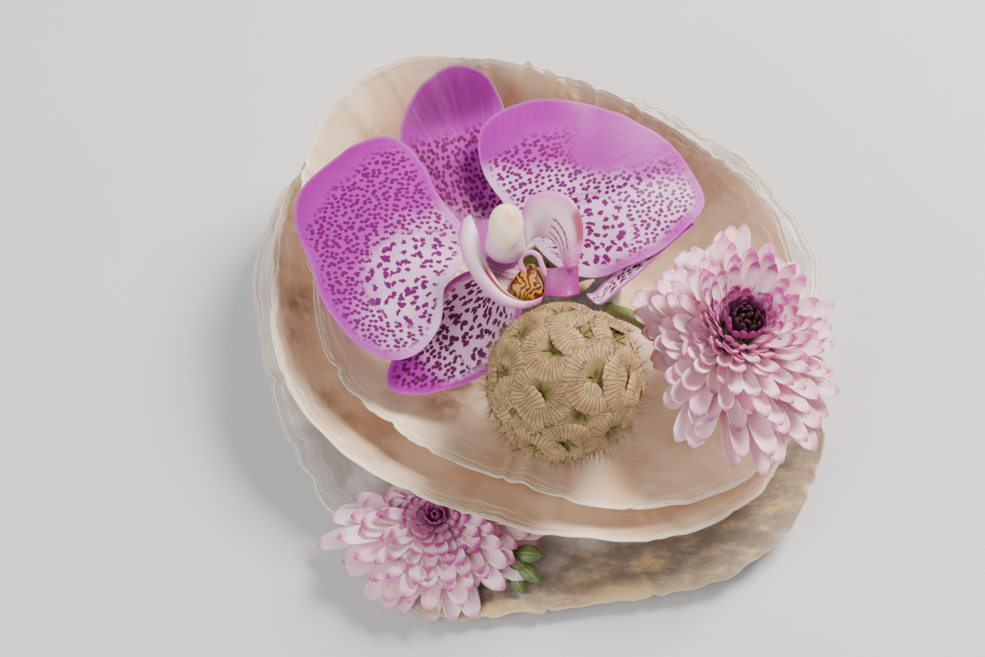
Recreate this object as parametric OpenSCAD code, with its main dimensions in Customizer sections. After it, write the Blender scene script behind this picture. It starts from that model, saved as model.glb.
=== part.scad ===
// Table arrangement on stacked windowpane-oyster shells. A small pierced flower frog stands in
// the hollow of the top shell and holds the cut stems of an orchid, a scabious pod and a
// chrysanthemum; a second chrysanthemum is glued under the front lip of the middle shell.
// Millimetres, +Z up, front towards -Y. The origin is on the flat underside of the base shell.

/* [Shells] */
// Mean radius of the base shell
base_r = 71.5; // [65:0.5:80]
// Mean radius of the middle shell
middle_r = 62; // [58:0.5:66]
// Mean radius of the top shell
top_r = 60; // [57:0.5:63]
// Wall of every shell
shell_t = 1.6; // [1.2:0.1:2.4]
// Height of the middle shell's inner floor
middle_floor = 5.2; // [5:0.1:6]
// Height of the top shell's inner floor
top_floor = 9.4; // [9:0.1:11]

/* [Flower frog] */
// Radius of the pierced block
frog_r = 14.5; // [12:0.5:15]
// Height of the pierced block
frog_h = 15; // [12:0.5:18]
// Radius of each stem hole
frog_hole_r = 2.1; // [1.9:0.1:2.4]
// Radius of a cut stem where it stands in its hole
stem_r = 1.7; // [1.2:0.1:1.8]

/* [Flowers] */
// Thickness of an orchid petal
petal_t = 1.1; // [0.8:0.1:1.6]
// Radius of the seed pod over its papery cups
pod_r = 20.4; // [18:0.2:21]
// Radius of the closed pod core
pod_core_r = 15.2; // [14:0.2:16]
// Number of papery cups round a whole pod
pod_cups_n = 28; // [20:1:30]
// Thickness of a chrysanthemum's whorl
whorl_t = 1.1; // [0.8:0.1:1.5]

/* [Hidden] */
$fn = 48;

// Each shell is a dish: a plan outline and a rim height, both given every 22.5 degrees
// anticlockwise from +X, about the lowest point of the dish.
base_centre = [0, 0];
base_radii = base_r * [1.00, 1.06, 1.06, 1.04, 0.98, 1.00, 1.06, 1.06,
                       0.95, 0.91, 0.92, 1.01, 0.93, 0.97, 1.07, 1.08];
base_rims = [16, 17, 19, 21, 22, 21, 20, 16, 11, 8, 6, 4.5, 4.5, 5, 7.5, 12];
middle_centre = [8, 13];
middle_radii = middle_r * [0.82, 0.76, 0.71, 0.73, 0.79, 0.91, 1.05, 1.18,
                           1.18, 1.19, 1.12, 1.05, 1.06, 1.15, 1.14, 0.98];
middle_rims = [19, 23, 26, 29, 31, 32, 31.5, 30, 27, 24, 22, 21, 20, 20, 19, 18.5];
top_centre = [8, 13];
top_radii = top_r * [0.97, 0.91, 0.78, 0.76, 0.81, 0.96, 1.18, 1.18,
                     1.06, 1.03, 0.96, 0.92, 0.96, 1.08, 1.16, 1.10];
top_rims = [28, 32, 37, 41, 44.5, 45, 43, 37, 30, 27, 25, 24, 24, 24, 25, 26];
base_shape = [0.42, 1.6];
middle_shape = [0.3, 1.75];
top_shape = [0.3, 1.75];

// Where the frog stands, and the way each stem hole leans
frog_base_z = top_floor + 0.9;
frog_at = [top_centre.x, top_centre.y, frog_base_z];
orchid_way = [-0.16, 0.28, 0.95];
pod_way = [-0.02, -0.77, 0.64];
mum_way = [0.64, -0.42, 0.64];
spare_ways = [[0.6, 0.6, 0.53], [-0.75, -0.35, 0.56], [-0.45, 0.75, 0.5]];
hole_root = frog_at + [0, 0, 1.6];
hole_floor = 7.6;
stem_foot = 8.6;
knee_r = stem_r + 0.2;
frog_edge_r = 6;

// Flower places: the middle of each flower and the way it faces
orchid_heart = [-6, 10.5, 43];
pod_at = hole_root + 46 * unit(pod_way);
right_mum_at = [46, -11, 35.5];
right_mum_face = [0.2, 0.02, 0.98];
front_mum_at = [-23.5, -44.5, 9.2];
front_mum_face = [-0.04, -0.16, 0.98];
right_mum_radii = [27.5, 29, 31, 31, 26.4, 26, 20, 18.8, 26, 31.5, 31.5, 29.5];
front_mum_radii = [25, 14, 6, 5, 6, 14, 27, 27, 26, 24.5, 24.5, 25];

function unit(v) = v / norm(v);
function cyclic(values, i) = values[(i + 2 * len(values)) % len(values)];

// Smooth closed curve through equally spaced values, read at an angle in degrees
function smooth_ring(values, angle) =
    let (s = angle * len(values) / 360,
         i = floor(s),
         t = s - i,
         a = cyclic(values, i - 1),
         b = cyclic(values, i),
         c = cyclic(values, i + 1),
         d = cyclic(values, i + 2))
    b + 0.5 * t * (c - a + t * (2 * a - 5 * b + 4 * c - d + t * (3 * (b - c) + d - a)));

// One point of a dish's inner face: flat up to shape[0] of the way out, then curling up
function dish_point(centre, radii, rims, floor_z, shape, rho, angle) =
    let (r = rho * smooth_ring(radii, angle),
         rise = max(0, (rho - shape[0]) / (1 - shape[0])))
    [centre.x + r * cos(angle), centre.y + r * sin(angle),
     floor_z + (smooth_ring(rims, angle) - floor_z) * pow(rise, shape[1])];

// Triangles of a closed disc whose two faces share one rim: a centre, then rings of points
function disc_faces(rings, sectors, first, up) = concat(
    [for (j = [0:sectors - 1]) turned([first, first + 1 + j, first + 1 + (j + 1) % sectors], up)],
    [for (i = [0:rings - 2], j = [0:sectors - 1])
        let (a = first + 1 + i * sectors + j, b = first + 1 + i * sectors + (j + 1) % sectors)
        turned([a, a + sectors, b], up)],
    [for (i = [0:rings - 2], j = [0:sectors - 1])
        let (a = first + 1 + i * sectors + j, b = first + 1 + i * sectors + (j + 1) % sectors)
        turned([b, a + sectors, b + sectors], up)]);
function turned(f, up) = up ? [f[2], f[1], f[0]] : f;

module dish(centre, radii, rims, floor_z, shape, rings = 10, sectors = 48) {
    inner = concat([dish_point(centre, radii, rims, floor_z, shape, 0, 0)],
        [for (i = [1:rings], j = [0:sectors - 1])
            dish_point(centre, radii, rims, floor_z, shape, i / rings, j * 360 / sectors)]);
    outer = [for (p = inner) p - [0, 0, shell_t]];
    n = len(inner);
    rim = 1 + (rings - 1) * sectors;
    wall = [for (j = [0:sectors - 1], k = [0:1])
        let (a = rim + j, b = rim + (j + 1) % sectors)
        k == 0 ? [a, b, a + n] : [b, b + n, a + n]];
    polyhedron(concat(inner, outer),
        concat(disc_faces(rings, sectors, 0, true), disc_faces(rings, sectors, n, false), wall));
}

// Moves a piece drawn along +Y and facing +Z so that it runs along `along` and faces `face`
module place(at, along, face) {
    y = unit(along);
    x = unit(cross(y, face));
    z = cross(x, y);
    multmatrix([[x.x, y.x, z.x, at.x], [x.y, y.y, z.y, at.y], [x.z, y.z, z.z, at.z]]) children();
}

// Moves a piece drawn about +Z so that its axis points along `way`, with +X kept to the right
module stand(at, way) {
    z = unit(way);
    y = unit(cross(z, [1, 0, 0]));
    x = cross(y, z);
    multmatrix([[x.x, y.x, z.x, at.x], [x.y, y.y, z.y, at.y], [x.z, y.z, z.z, at.z]]) children();
}

// A closed sheet over a grid: width follows a power of a sine, the sheet arches along its
// length by `bend` and across it by `cup`
module petal(length, width, thick, full = 0.6, skew = 1, bend = 0, cup = 0, along_n = 10, across_n = 6) {
    top = [for (i = [0:along_n], j = [0:across_n])
        let (s = i / along_n,
             t = 2 * j / across_n - 1,
             half = width / 2 * pow(sin(180 * pow(0.02 + 0.97 * s, skew)), full))
        [t * half, s * length, bend * s * s + cup * t * t * half / width * 2]];
    n = len(top);
    row = across_n + 1;
    bottom = [for (p = top) p - [0, 0, thick]];
    skin = [for (i = [0:along_n - 1], j = [0:across_n - 1], k = [0:1])
        let (a = i * row + j)
        k == 0 ? [a, a + row, a + 1] : [a + 1, a + row, a + row + 1]];
    lower = [for (f = skin) [f[2] + n, f[1] + n, f[0] + n]];
    edge = concat(
        [for (j = [0:across_n]) j],
        [for (i = [1:along_n]) i * row + across_n],
        [for (j = [1:across_n]) along_n * row + across_n - j],
        [for (i = [1:along_n - 1]) (along_n - i) * row]);
    m = len(edge);
    wall = [for (i = [0:m - 1], k = [0:1])
        let (a = edge[i], b = edge[(i + 1) % m])
        k == 0 ? [a, b, a + n] : [b, b + n, a + n]];
    polyhedron(concat(top, bottom), concat(skin, lower, wall));
}

// A ring of joined petals: a thin bowl whose rim is scalloped into petal tips
module whorl(radii, share, inner_r, z_low, z_high, tips, rings = 4) {
    sectors = tips * 3;
    top = [for (i = [0:rings], j = [0:sectors - 1])
        let (s = i / rings,
             angle = j * 360 / sectors,
             notch = j % 3 == 0 ? 1 - 0.12 * s : 1,
             rim = max(inner_r + 2, share * smooth_ring(radii, angle)) * notch,
             r = inner_r + (rim - inner_r) * s)
        [r * cos(angle), r * sin(angle), z_low + (z_high - z_low) * s * s]];
    n = len(top);
    bottom = [for (p = top) p - [0, 0, whorl_t]];
    skin = [for (i = [0:rings - 1], j = [0:sectors - 1], k = [0:1])
        let (a = i * sectors + j, b = i * sectors + (j + 1) % sectors)
        k == 0 ? [b, a + sectors, a] : [b + sectors, a + sectors, b]];
    lower = [for (f = skin) [f[2] + n, f[1] + n, f[0] + n]];
    wall = [for (j = [0:sectors - 1], k = [0:1])
        let (a = rings * sectors + j, b = rings * sectors + (j + 1) % sectors)
        k == 0 ? [a, b, a + n] : [b, b + n, a + n]];
    bore = [for (j = [0:sectors - 1], k = [0:1])
        let (a = j, b = (j + 1) % sectors)
        k == 0 ? [a, a + n, b] : [b, a + n, b + n]];
    polyhedron(concat(top, bottom), concat(skin, lower, wall, bore));
}

// A straight round rod between two points
module rod(a, b, r, r_end) {
    stand(a, b - a) cylinder(h = norm(b - a), r1 = r, r2 = r_end);
}

// A point of the curve that leaves a towards b and arrives at d from c
function bend_point(a, b, c, d, t) =
    pow(1 - t, 3) * a + 3 * pow(1 - t, 2) * t * b + 3 * (1 - t) * t * t * c + t * t * t * d;

// A bent round stem through a list of points
module stalk(path, r, sides = 16) {
    last = len(path) - 1;
    skin = [for (i = [0:last], j = [0:sides - 1])
        let (way = unit(path[min(i + 1, last)] - path[max(i - 1, 0)]),
             x = unit(cross([0, 1, 0], way)),
             y = cross(way, x),
             a = j * 360 / sides)
        path[i] + r * (cos(a) * x + sin(a) * y)];
    wall = [for (i = [0:last - 1], j = [0:sides - 1], k = [0:1])
        let (a = i * sides + j, b = i * sides + (j + 1) % sides)
        k == 0 ? [a, a + sides, b] : [b, a + sides, b + sides]];
    foot_cap = [for (j = [0:sides - 1]) j];
    head_cap = [for (j = [0:sides - 1]) last * sides + sides - 1 - j];
    polyhedron(skin, concat(wall, [foot_cap, head_cap]));
}

// A low round dab squeezed between two shells
module dab(at, r, h) {
    translate(at) cylinder(h = h, r = r);
}

module base_shell() {
    color("gainsboro") dish(base_centre, base_radii, base_rims, shell_t, base_shape);
}

module middle_shell() {
    color("tan") dish(middle_centre, middle_radii, middle_rims, middle_floor, middle_shape);
}

module top_shell() {
    color("antiquewhite") dish(top_centre, top_radii, top_rims, top_floor, top_shape);
}

module lower_glue_dabs() {
    color("ivory") for (a = [90:120:330])
        dab([middle_centre.x + 8 * cos(a), middle_centre.y + 8 * sin(a), shell_t],
            4, middle_floor - 2 * shell_t);
}

module upper_glue_dabs() {
    color("ivory") for (a = [30:120:330])
        dab([top_centre.x + 8 * cos(a), top_centre.y + 8 * sin(a), middle_floor],
            3.4, top_floor - shell_t - middle_floor);
}

// The frog is a low dome with a hole for each stem; the holes all start near its middle
module frog_block() {
    color("lightseagreen") difference() {
        translate(frog_at) rotate_extrude() {
            union() {
                square([frog_r, frog_h - frog_edge_r]);
                square([frog_r - frog_edge_r, frog_h]);
                translate([frog_r - frog_edge_r, frog_h - frog_edge_r]) circle(r = frog_edge_r);
            }
        }
        for (way = concat([orchid_way, pod_way, mum_way], spare_ways))
            stand(hole_root + hole_floor * unit(way), way) cylinder(h = 30, r = frog_hole_r);
    }
}

module frog_putty() {
    color("darkseagreen") translate([frog_at.x, frog_at.y, top_floor])
        cylinder(h = frog_base_z - top_floor, r = 11.5);
}

// Orchid: three sepals behind, two broad petals in front of them, then the column and lip
module orchid_dorsal_sepal() {
    color("orchid") place(orchid_heart + [-3.5, 4, -5.6], [-14.5, 49, 9.6], [0.05, -0.3, 0.95])
        petal(50, 29, petal_t, full = 0.62, skew = 0.86, bend = 1.5, cup = 0.8);
}

module orchid_left_petal() {
    color("mediumorchid") place(orchid_heart + [-4.5, 1, 1], [-46.5, 6.5, -2.5], [0.1, -0.2, 0.95])
        petal(48.5, 56, petal_t, full = 0.52, skew = 0.88, bend = -2.5, cup = -1.6);
}

module orchid_right_petal() {
    color("mediumorchid") place(orchid_heart + [4, 8, 1], [38, 15.5, 3], [-0.05, -0.3, 0.95])
        petal(45, 44, petal_t, full = 0.5, skew = 0.64, bend = -2, cup = -1.6);
}

module orchid_left_sepal() {
    color("orchid") place(orchid_heart + [-4, -4, -5], [-26, -25, -9.4], [0.2, -0.3, 0.9])
        petal(37, 21, petal_t, full = 0.6, skew = 0.8, bend = 0, cup = 0.6);
}

module orchid_right_sepal() {
    color("orchid") place(orchid_heart + [9, -5.2, -5.3], [28, 17.5, -4.4], [-0.2, -0.5, 0.85])
        petal(36, 11, petal_t, full = 0.6, skew = 0.8, bend = 0, cup = 0.6);
}

module orchid_column() {
    color("thistle") rod(orchid_heart + [0, 2.2, 2.4], orchid_heart + [0, -3, 9.5], 2.6, 3.6);
}

module orchid_anther_cap() {
    color("linen") translate(orchid_heart + [0, -4.4, 13.4]) sphere(r = 3.3);
}

module orchid_lip_left_lobe() {
    color("lavenderblush") place(orchid_heart + [-5.6, -5, 2.6], [-5, -4, 12], [0.9, -0.4, 0.2])
        petal(15, 13, 0.9, full = 0.6, bend = -2, cup = 2, along_n = 7, across_n = 4);
}

module orchid_lip_right_lobe() {
    color("lavenderblush") place(orchid_heart + [6, -3.5, 2.6], [6, 4, 13], [-0.8, -0.5, 0.2])
        petal(19, 17, 0.9, full = 0.55, bend = -3, cup = 2, along_n = 7, across_n = 4);
}

module orchid_lip_middle_lobe() {
    color("magenta") place(orchid_heart + [3.5, -6.4, 2.4], [7.5, -3, 0.5], [0, -0.2, 1])
        petal(10, 9, 0.9, full = 0.5, bend = -2, cup = -1, along_n = 6, across_n = 4);
}

module orchid_callus() {
    color("gold") translate(orchid_heart + [0.8, -6.4, 3.2]) sphere(r = 1.9);
}

module orchid_pedicel() {
    low = hole_root + stem_foot * unit(orchid_way);
    knee = hole_root + 22 * unit(orchid_way);
    color("yellowgreen") union() {
        rod(low, knee, stem_r, stem_r);
        translate(knee) sphere(r = knee_r);
        rod(knee, orchid_heart + [0, 3, -7.8], stem_r, stem_r);
    }
}

// Seed pod: a closed ball covered in papery cups, each with a dark star of bristles
module pod_core() {
    color("olivedrab") translate(pod_at) sphere(r = pod_core_r);
}

// Places children on a golden-angle spiral over the pod, clear of its stem
module over_pod() {
    for (i = [0:pod_cups_n - 1]) {
        height = 1 - (2 * i + 1) / pod_cups_n;
        tilt = acos(height);
        if (tilt < 152)
            stand(pod_at, pod_way) rotate([0, 0, i * 137.508]) rotate([0, tilt, 0]) children();
    }
}

module pod_cups() {
    cup_h = pod_r - pod_core_r - 0.3;
    color("burlywood") over_pod() translate([0, 0, pod_core_r + 0.3]) difference() {
        cylinder(h = cup_h, r1 = 2.2, r2 = 6.1, $fn = 24);
        translate([0, 0, 0.7]) cylinder(h = cup_h, r1 = 1.6, r2 = 5.9, $fn = 24);
    }
}

module pod_bristles() {
    color("saddlebrown") over_pod() translate([0, 0, pod_core_r + 1.3])
        cylinder(h = 3, r1 = 0.8, r2 = 0.35, $fn = 16);
}

module pod_stem() {
    color("yellowgreen")
        rod(hole_root + stem_foot * unit(pod_way), pod_at - pod_core_r * unit(pod_way), stem_r, stem_r);
}

// Chrysanthemum heads: three whorls of petals over a green calyx, round a dark eye
module right_mum_outer_petals() {
    color("pink") stand(right_mum_at, right_mum_face) whorl(right_mum_radii, 1, 3, 0, 1.5, 20);
}

module right_mum_middle_petals() {
    color("hotpink") stand(right_mum_at, right_mum_face)
        whorl(right_mum_radii, 0.8, 3, 3, 6.5, 18);
}

module right_mum_inner_petals() {
    color("deeppink") stand(right_mum_at, right_mum_face)
        whorl([for (i = [0:11]) 13.5], 1, 3, 6.2, 12.5, 14);
}

module right_mum_eye() {
    color("purple") stand(right_mum_at, right_mum_face) translate([0, 0, 7])
        cylinder(h = 5.5, r1 = 2.6, r2 = 4.6);
}

module right_mum_calyx() {
    color("yellowgreen") stand(right_mum_at, right_mum_face) translate([0, 0, -6.4])
        cylinder(h = 5, r1 = 2.6, r2 = 7);
}

module right_mum_stem() {
    start = hole_root + stem_foot * unit(mum_way);
    out = hole_root + 18 * unit(mum_way);
    neck = right_mum_at - 8.5 * unit(right_mum_face);
    head = right_mum_at - 6.5 * unit(right_mum_face);
    pull = hole_root + 27 * unit(mum_way);
    lift = neck - 8 * unit(right_mum_face);
    bend = [for (k = [0:6]) bend_point(out, pull, lift, neck, k / 6)];
    color("yellowgreen") stalk(concat([start], bend, [head]), stem_r);
}

module front_mum_outer_petals() {
    color("pink") stand(front_mum_at, front_mum_face) whorl(front_mum_radii, 1, 3, 0, 1.1, 18);
}

module front_mum_middle_petals() {
    color("hotpink") stand(front_mum_at, front_mum_face)
        whorl(front_mum_radii, 0.74, 2.6, 1.8, 3.2, 16);
}

module front_mum_inner_petals() {
    color("deeppink") stand(front_mum_at, front_mum_face)
        whorl([11, 8, 5, 4.6, 5, 8, 12, 12, 12, 12, 12, 12], 1, 2.6, 3.6, 6.4, 12);
}

module front_mum_eye() {
    color("purple") stand(front_mum_at, front_mum_face) translate([0, 0, 4.6])
        cylinder(h = 3.2, r1 = 2.2, r2 = 3.6);
}

module front_mum_calyx() {
    color("yellowgreen") stand(front_mum_at, front_mum_face) translate([0, 0, -3.8])
        cylinder(h = 2.4, r1 = 3, r2 = 5);
}

module front_glue_dab() {
    color("ivory") dab([front_mum_at.x, front_mum_at.y + 1, 3.3], 2.6, 1.5);
}

// A cut sprig of small green leaves beside the front flower
module front_leaf_sprig() {
    color("darkgreen") for (k = [0:2])
        place([-1.5 + 2 * k, -52 - 1.5 * k, 6.2 + 0.9 * k], [9, 2 - 4 * k, 1.5], [0, -0.2, 1])
            petal(9 - k, 3.6, 0.7, full = 0.7, bend = 1, cup = 1, along_n = 5, across_n = 4);
}

// A tuft of moss that hides the frog on the left of the pod
module moss_tuft() {
    color("darkolivegreen") for (p = [[-15.5, -6, 4.2], [-12, 0, 3.8], [-17, 2.5, 3.6]])
        translate([p.x, p.y, top_floor + 7.6]) sphere(r = p.z, $fn = 24);
}

base_shell();
middle_shell();
top_shell();
lower_glue_dabs();
upper_glue_dabs();
frog_block();
frog_putty();
orchid_dorsal_sepal();
orchid_left_petal();
orchid_right_petal();
orchid_left_sepal();
orchid_right_sepal();
orchid_column();
orchid_anther_cap();
orchid_lip_left_lobe();
orchid_lip_right_lobe();
orchid_lip_middle_lobe();
orchid_callus();
orchid_pedicel();
pod_core();
pod_cups();
pod_bristles();
pod_stem();
right_mum_outer_petals();
right_mum_middle_petals();
right_mum_inner_petals();
right_mum_eye();
right_mum_calyx();
right_mum_stem();
front_mum_outer_petals();
front_mum_middle_petals();
front_mum_inner_petals();
front_mum_eye();
front_mum_calyx();
front_glue_dab();
front_leaf_sprig();
moss_tuft();
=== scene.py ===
import math

import bpy
import numpy as np
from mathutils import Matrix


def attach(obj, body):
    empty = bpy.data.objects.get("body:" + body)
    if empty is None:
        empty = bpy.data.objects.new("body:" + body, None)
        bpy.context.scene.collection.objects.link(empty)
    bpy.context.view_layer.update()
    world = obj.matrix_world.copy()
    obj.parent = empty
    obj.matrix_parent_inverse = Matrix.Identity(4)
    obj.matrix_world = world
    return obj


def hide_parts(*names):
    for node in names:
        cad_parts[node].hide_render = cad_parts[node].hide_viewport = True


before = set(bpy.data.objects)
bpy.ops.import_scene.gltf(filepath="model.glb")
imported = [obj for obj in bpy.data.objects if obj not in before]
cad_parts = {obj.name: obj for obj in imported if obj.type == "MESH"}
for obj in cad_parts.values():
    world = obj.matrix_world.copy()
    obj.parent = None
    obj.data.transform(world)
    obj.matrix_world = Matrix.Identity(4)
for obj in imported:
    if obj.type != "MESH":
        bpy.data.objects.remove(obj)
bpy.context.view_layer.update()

# ---------------------------------------------------------------------------------------------
# Three stacked windowpane-oyster shells: thin laminated nacre, satin inside, with a crumbling
# pale rim of broken layers and a painted highlight in a band inside the rim; the top shell also
# carries painted shadows. The two upper shells are glued on with clear dabs. Sizes in mm.
# ---------------------------------------------------------------------------------------------
MM = 0.001


def put(tree, kind, inputs=(), **props):
    """Adds a shader node; each input is linked when it is given a socket and set otherwise."""
    made = tree.nodes.new("ShaderNode" + kind)
    for key, value in props.items():
        setattr(made, key, value)
    for key, value in dict(inputs).items():
        if isinstance(value, bpy.types.NodeSocket):
            tree.links.new(value, made.inputs[key])
        else:
            made.inputs[key].default_value = value
    return made


def calc(tree, operation, a, b=0.0, c=0.0):
    return put(tree, "Math", {0: a, 1: b, 2: c}, operation=operation).outputs[0]


def mix(tree, amount, a, b, mode="MIX"):
    """Mixes two colours."""
    return put(tree, "Mix", {0: amount, 6: a, 7: b}, data_type="RGBA", blend_type=mode).outputs[2]


def steps(tree, value, low, high, start=0.0, end=1.0):
    """start below low, end above high, and a smooth step between."""
    made = put(tree, "MapRange", {0: value, 1: low, 2: high, 3: start, 4: end},
               interpolation_type="SMOOTHSTEP", clamp=True)
    return made.outputs[0]


def mark(tree, name):
    return put(tree, "Attribute", attribute_name=name).outputs["Fac"]


def way(tree, name):
    return put(tree, "Attribute", attribute_name=name).outputs["Vector"]


def stretch(tree, vector, scale):
    return put(tree, "Mapping", {"Vector": vector, "Scale": scale}).outputs[0]


def grain(tree, vector, scale, detail=3.0, rough=0.5):
    return put(tree, "TexNoise", {"Vector": vector, "Scale": scale, "Detail": detail,
                                  "Roughness": rough}).outputs[0]


def place_mm(tree):
    """Object coordinates in millimetres."""
    return stretch(tree, put(tree, "TexCoord").outputs["Object"], (1000.0, 1000.0, 1000.0))


def bump(tree, shader, height, distance, strength=1.0):
    made = put(tree, "Bump", {"Strength": strength, "Distance": distance, "Height": height})
    tree.links.new(made.outputs[0], shader.inputs["Normal"])


def material(name, **settings):
    made = bpy.data.materials.new(name)
    made.use_nodes = True
    shader = made.node_tree.nodes["Principled BSDF"]
    for key, value in settings.items():
        shader.inputs[key.replace("_", " ")].default_value = value
    return made, made.node_tree, shader


def group(name, inputs, outputs):
    """A node group with named float, colour and vector sockets."""
    tree = bpy.data.node_groups.new(name, "ShaderNodeTree")
    for label, kind in inputs:
        tree.interface.new_socket(label, in_out="INPUT", socket_type="NodeSocket" + kind)
    for label, kind in outputs:
        tree.interface.new_socket(label, in_out="OUTPUT", socket_type="NodeSocket" + kind)
    return tree, tree.nodes.new("NodeGroupInput").outputs, tree.nodes.new("NodeGroupOutput").inputs


def skin(name, rings, finish, body, marks=(), vectors=()):
    """Closed tubes from rings[n, k, s]: ring k joins ring k + 1 and each end closes on a pole.
    marks are numbers and vectors are triples given for every point of the rings."""
    n, k, s, _ = rings.shape
    i, j = np.meshgrid(np.arange(k - 1), np.arange(s), indexing="ij")
    a, b = i * s + j, i * s + (j + 1) % s
    quads = np.stack([a, b, b + s, a + s], -1).reshape(-1, 4)
    j = np.arange(s)
    foot = np.stack([np.full(s, k * s), (j + 1) % s, j], -1)
    head = np.stack([np.full(s, k * s + 1), (k - 1) * s + j, (k - 1) * s + (j + 1) % s], -1)
    step = (np.arange(n) * (k * s + 2))[:, None, None]
    corners = np.concatenate([(quads[None] + step).reshape(-1),
                              (np.concatenate([foot, head])[None] + step).reshape(-1)])
    sizes = np.concatenate([np.full(n * len(quads), 4), np.full(n * 2 * s, 3)])

    def flat(values):
        ends = values[:, [0, -1]].mean(axis=2)
        tail = values.shape[3:]
        return np.concatenate([values.reshape(n, k * s, *tail), ends], axis=1).reshape(-1, *tail)

    points = flat(rings) * MM
    mesh = bpy.data.meshes.new(name)
    mesh.vertices.add(len(points))
    mesh.vertices.foreach_set("co", points.astype(np.float32).ravel())
    mesh.loops.add(len(corners))
    mesh.loops.foreach_set("vertex_index", corners.astype(np.int32))
    mesh.polygons.add(len(sizes))
    mesh.polygons.foreach_set("loop_start", (np.cumsum(sizes) - sizes).astype(np.int32))
    mesh.update(calc_edges=True)
    mesh.shade_smooth()
    for label, values in dict(marks).items():
        layer = mesh.attributes.new(label, "FLOAT", "POINT")
        filled = flat(np.broadcast_to(values, rings.shape[:3]))
        layer.data.foreach_set("value", filled.astype(np.float32).ravel())
    for label, values in dict(vectors).items():
        layer = mesh.attributes.new(label, "FLOAT_VECTOR", "POINT")
        layer.data.foreach_set("vector", flat(values).astype(np.float32).ravel())
    made = bpy.data.objects.new(name, mesh)
    bpy.context.scene.collection.objects.link(made)
    mesh.materials.append(finish)
    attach(made, body)
    return made


def ring_curve(values, angle):
    """Smooth closed curve through equally spaced values, read at angles in radians."""
    v = np.asarray(values, float)
    s = angle / (2 * np.pi) * len(v)
    i = np.floor(s).astype(int)
    t = s - i
    a, b, c, d = (v[(i + k) % len(v)] for k in (-1, 0, 1, 2))
    return b + 0.5 * t * (c - a + t * (2 * a - 5 * b + 4 * c - d + t * (3 * (b - c) + d - a)))


def wander(angle, seed, low, high, fall=0.7):
    """Closed ragged line within -1..1: sines of whole frequencies low..high, sized by n^-fall."""
    rng = np.random.default_rng(seed)
    n = np.arange(low, high + 1)[:, None]
    size = rng.normal(size=n.shape) / n ** fall
    line = (size * np.sin(n * angle[None] + rng.uniform(0, 2 * np.pi, n.shape))).sum(0)
    return line / np.abs(line).max()


def chips(angle, seed, many):
    """Small bites out of a rim, 0..1 deep: each a notch that falls off over 0.008 to 0.04 radians."""
    rng = np.random.default_rng(seed)
    at = rng.uniform(0, 2 * np.pi, many)
    wide = rng.uniform(0.008, 0.04, many)
    deep = rng.uniform(0.2, 1, many)
    away = np.abs((angle[None] - at[:, None] + np.pi) % (2 * np.pi) - np.pi)
    return (deep[:, None] * np.clip(1.3 - away / wide[:, None], 0, 1)).max(0)


def ease(x):
    x = np.clip(x, 0, 1)
    return x * x * (3 - 2 * x)


rim_wall, shell_wall = 0.45, 1.55     # mm: at the rim, and from 9 mm inside it


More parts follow.
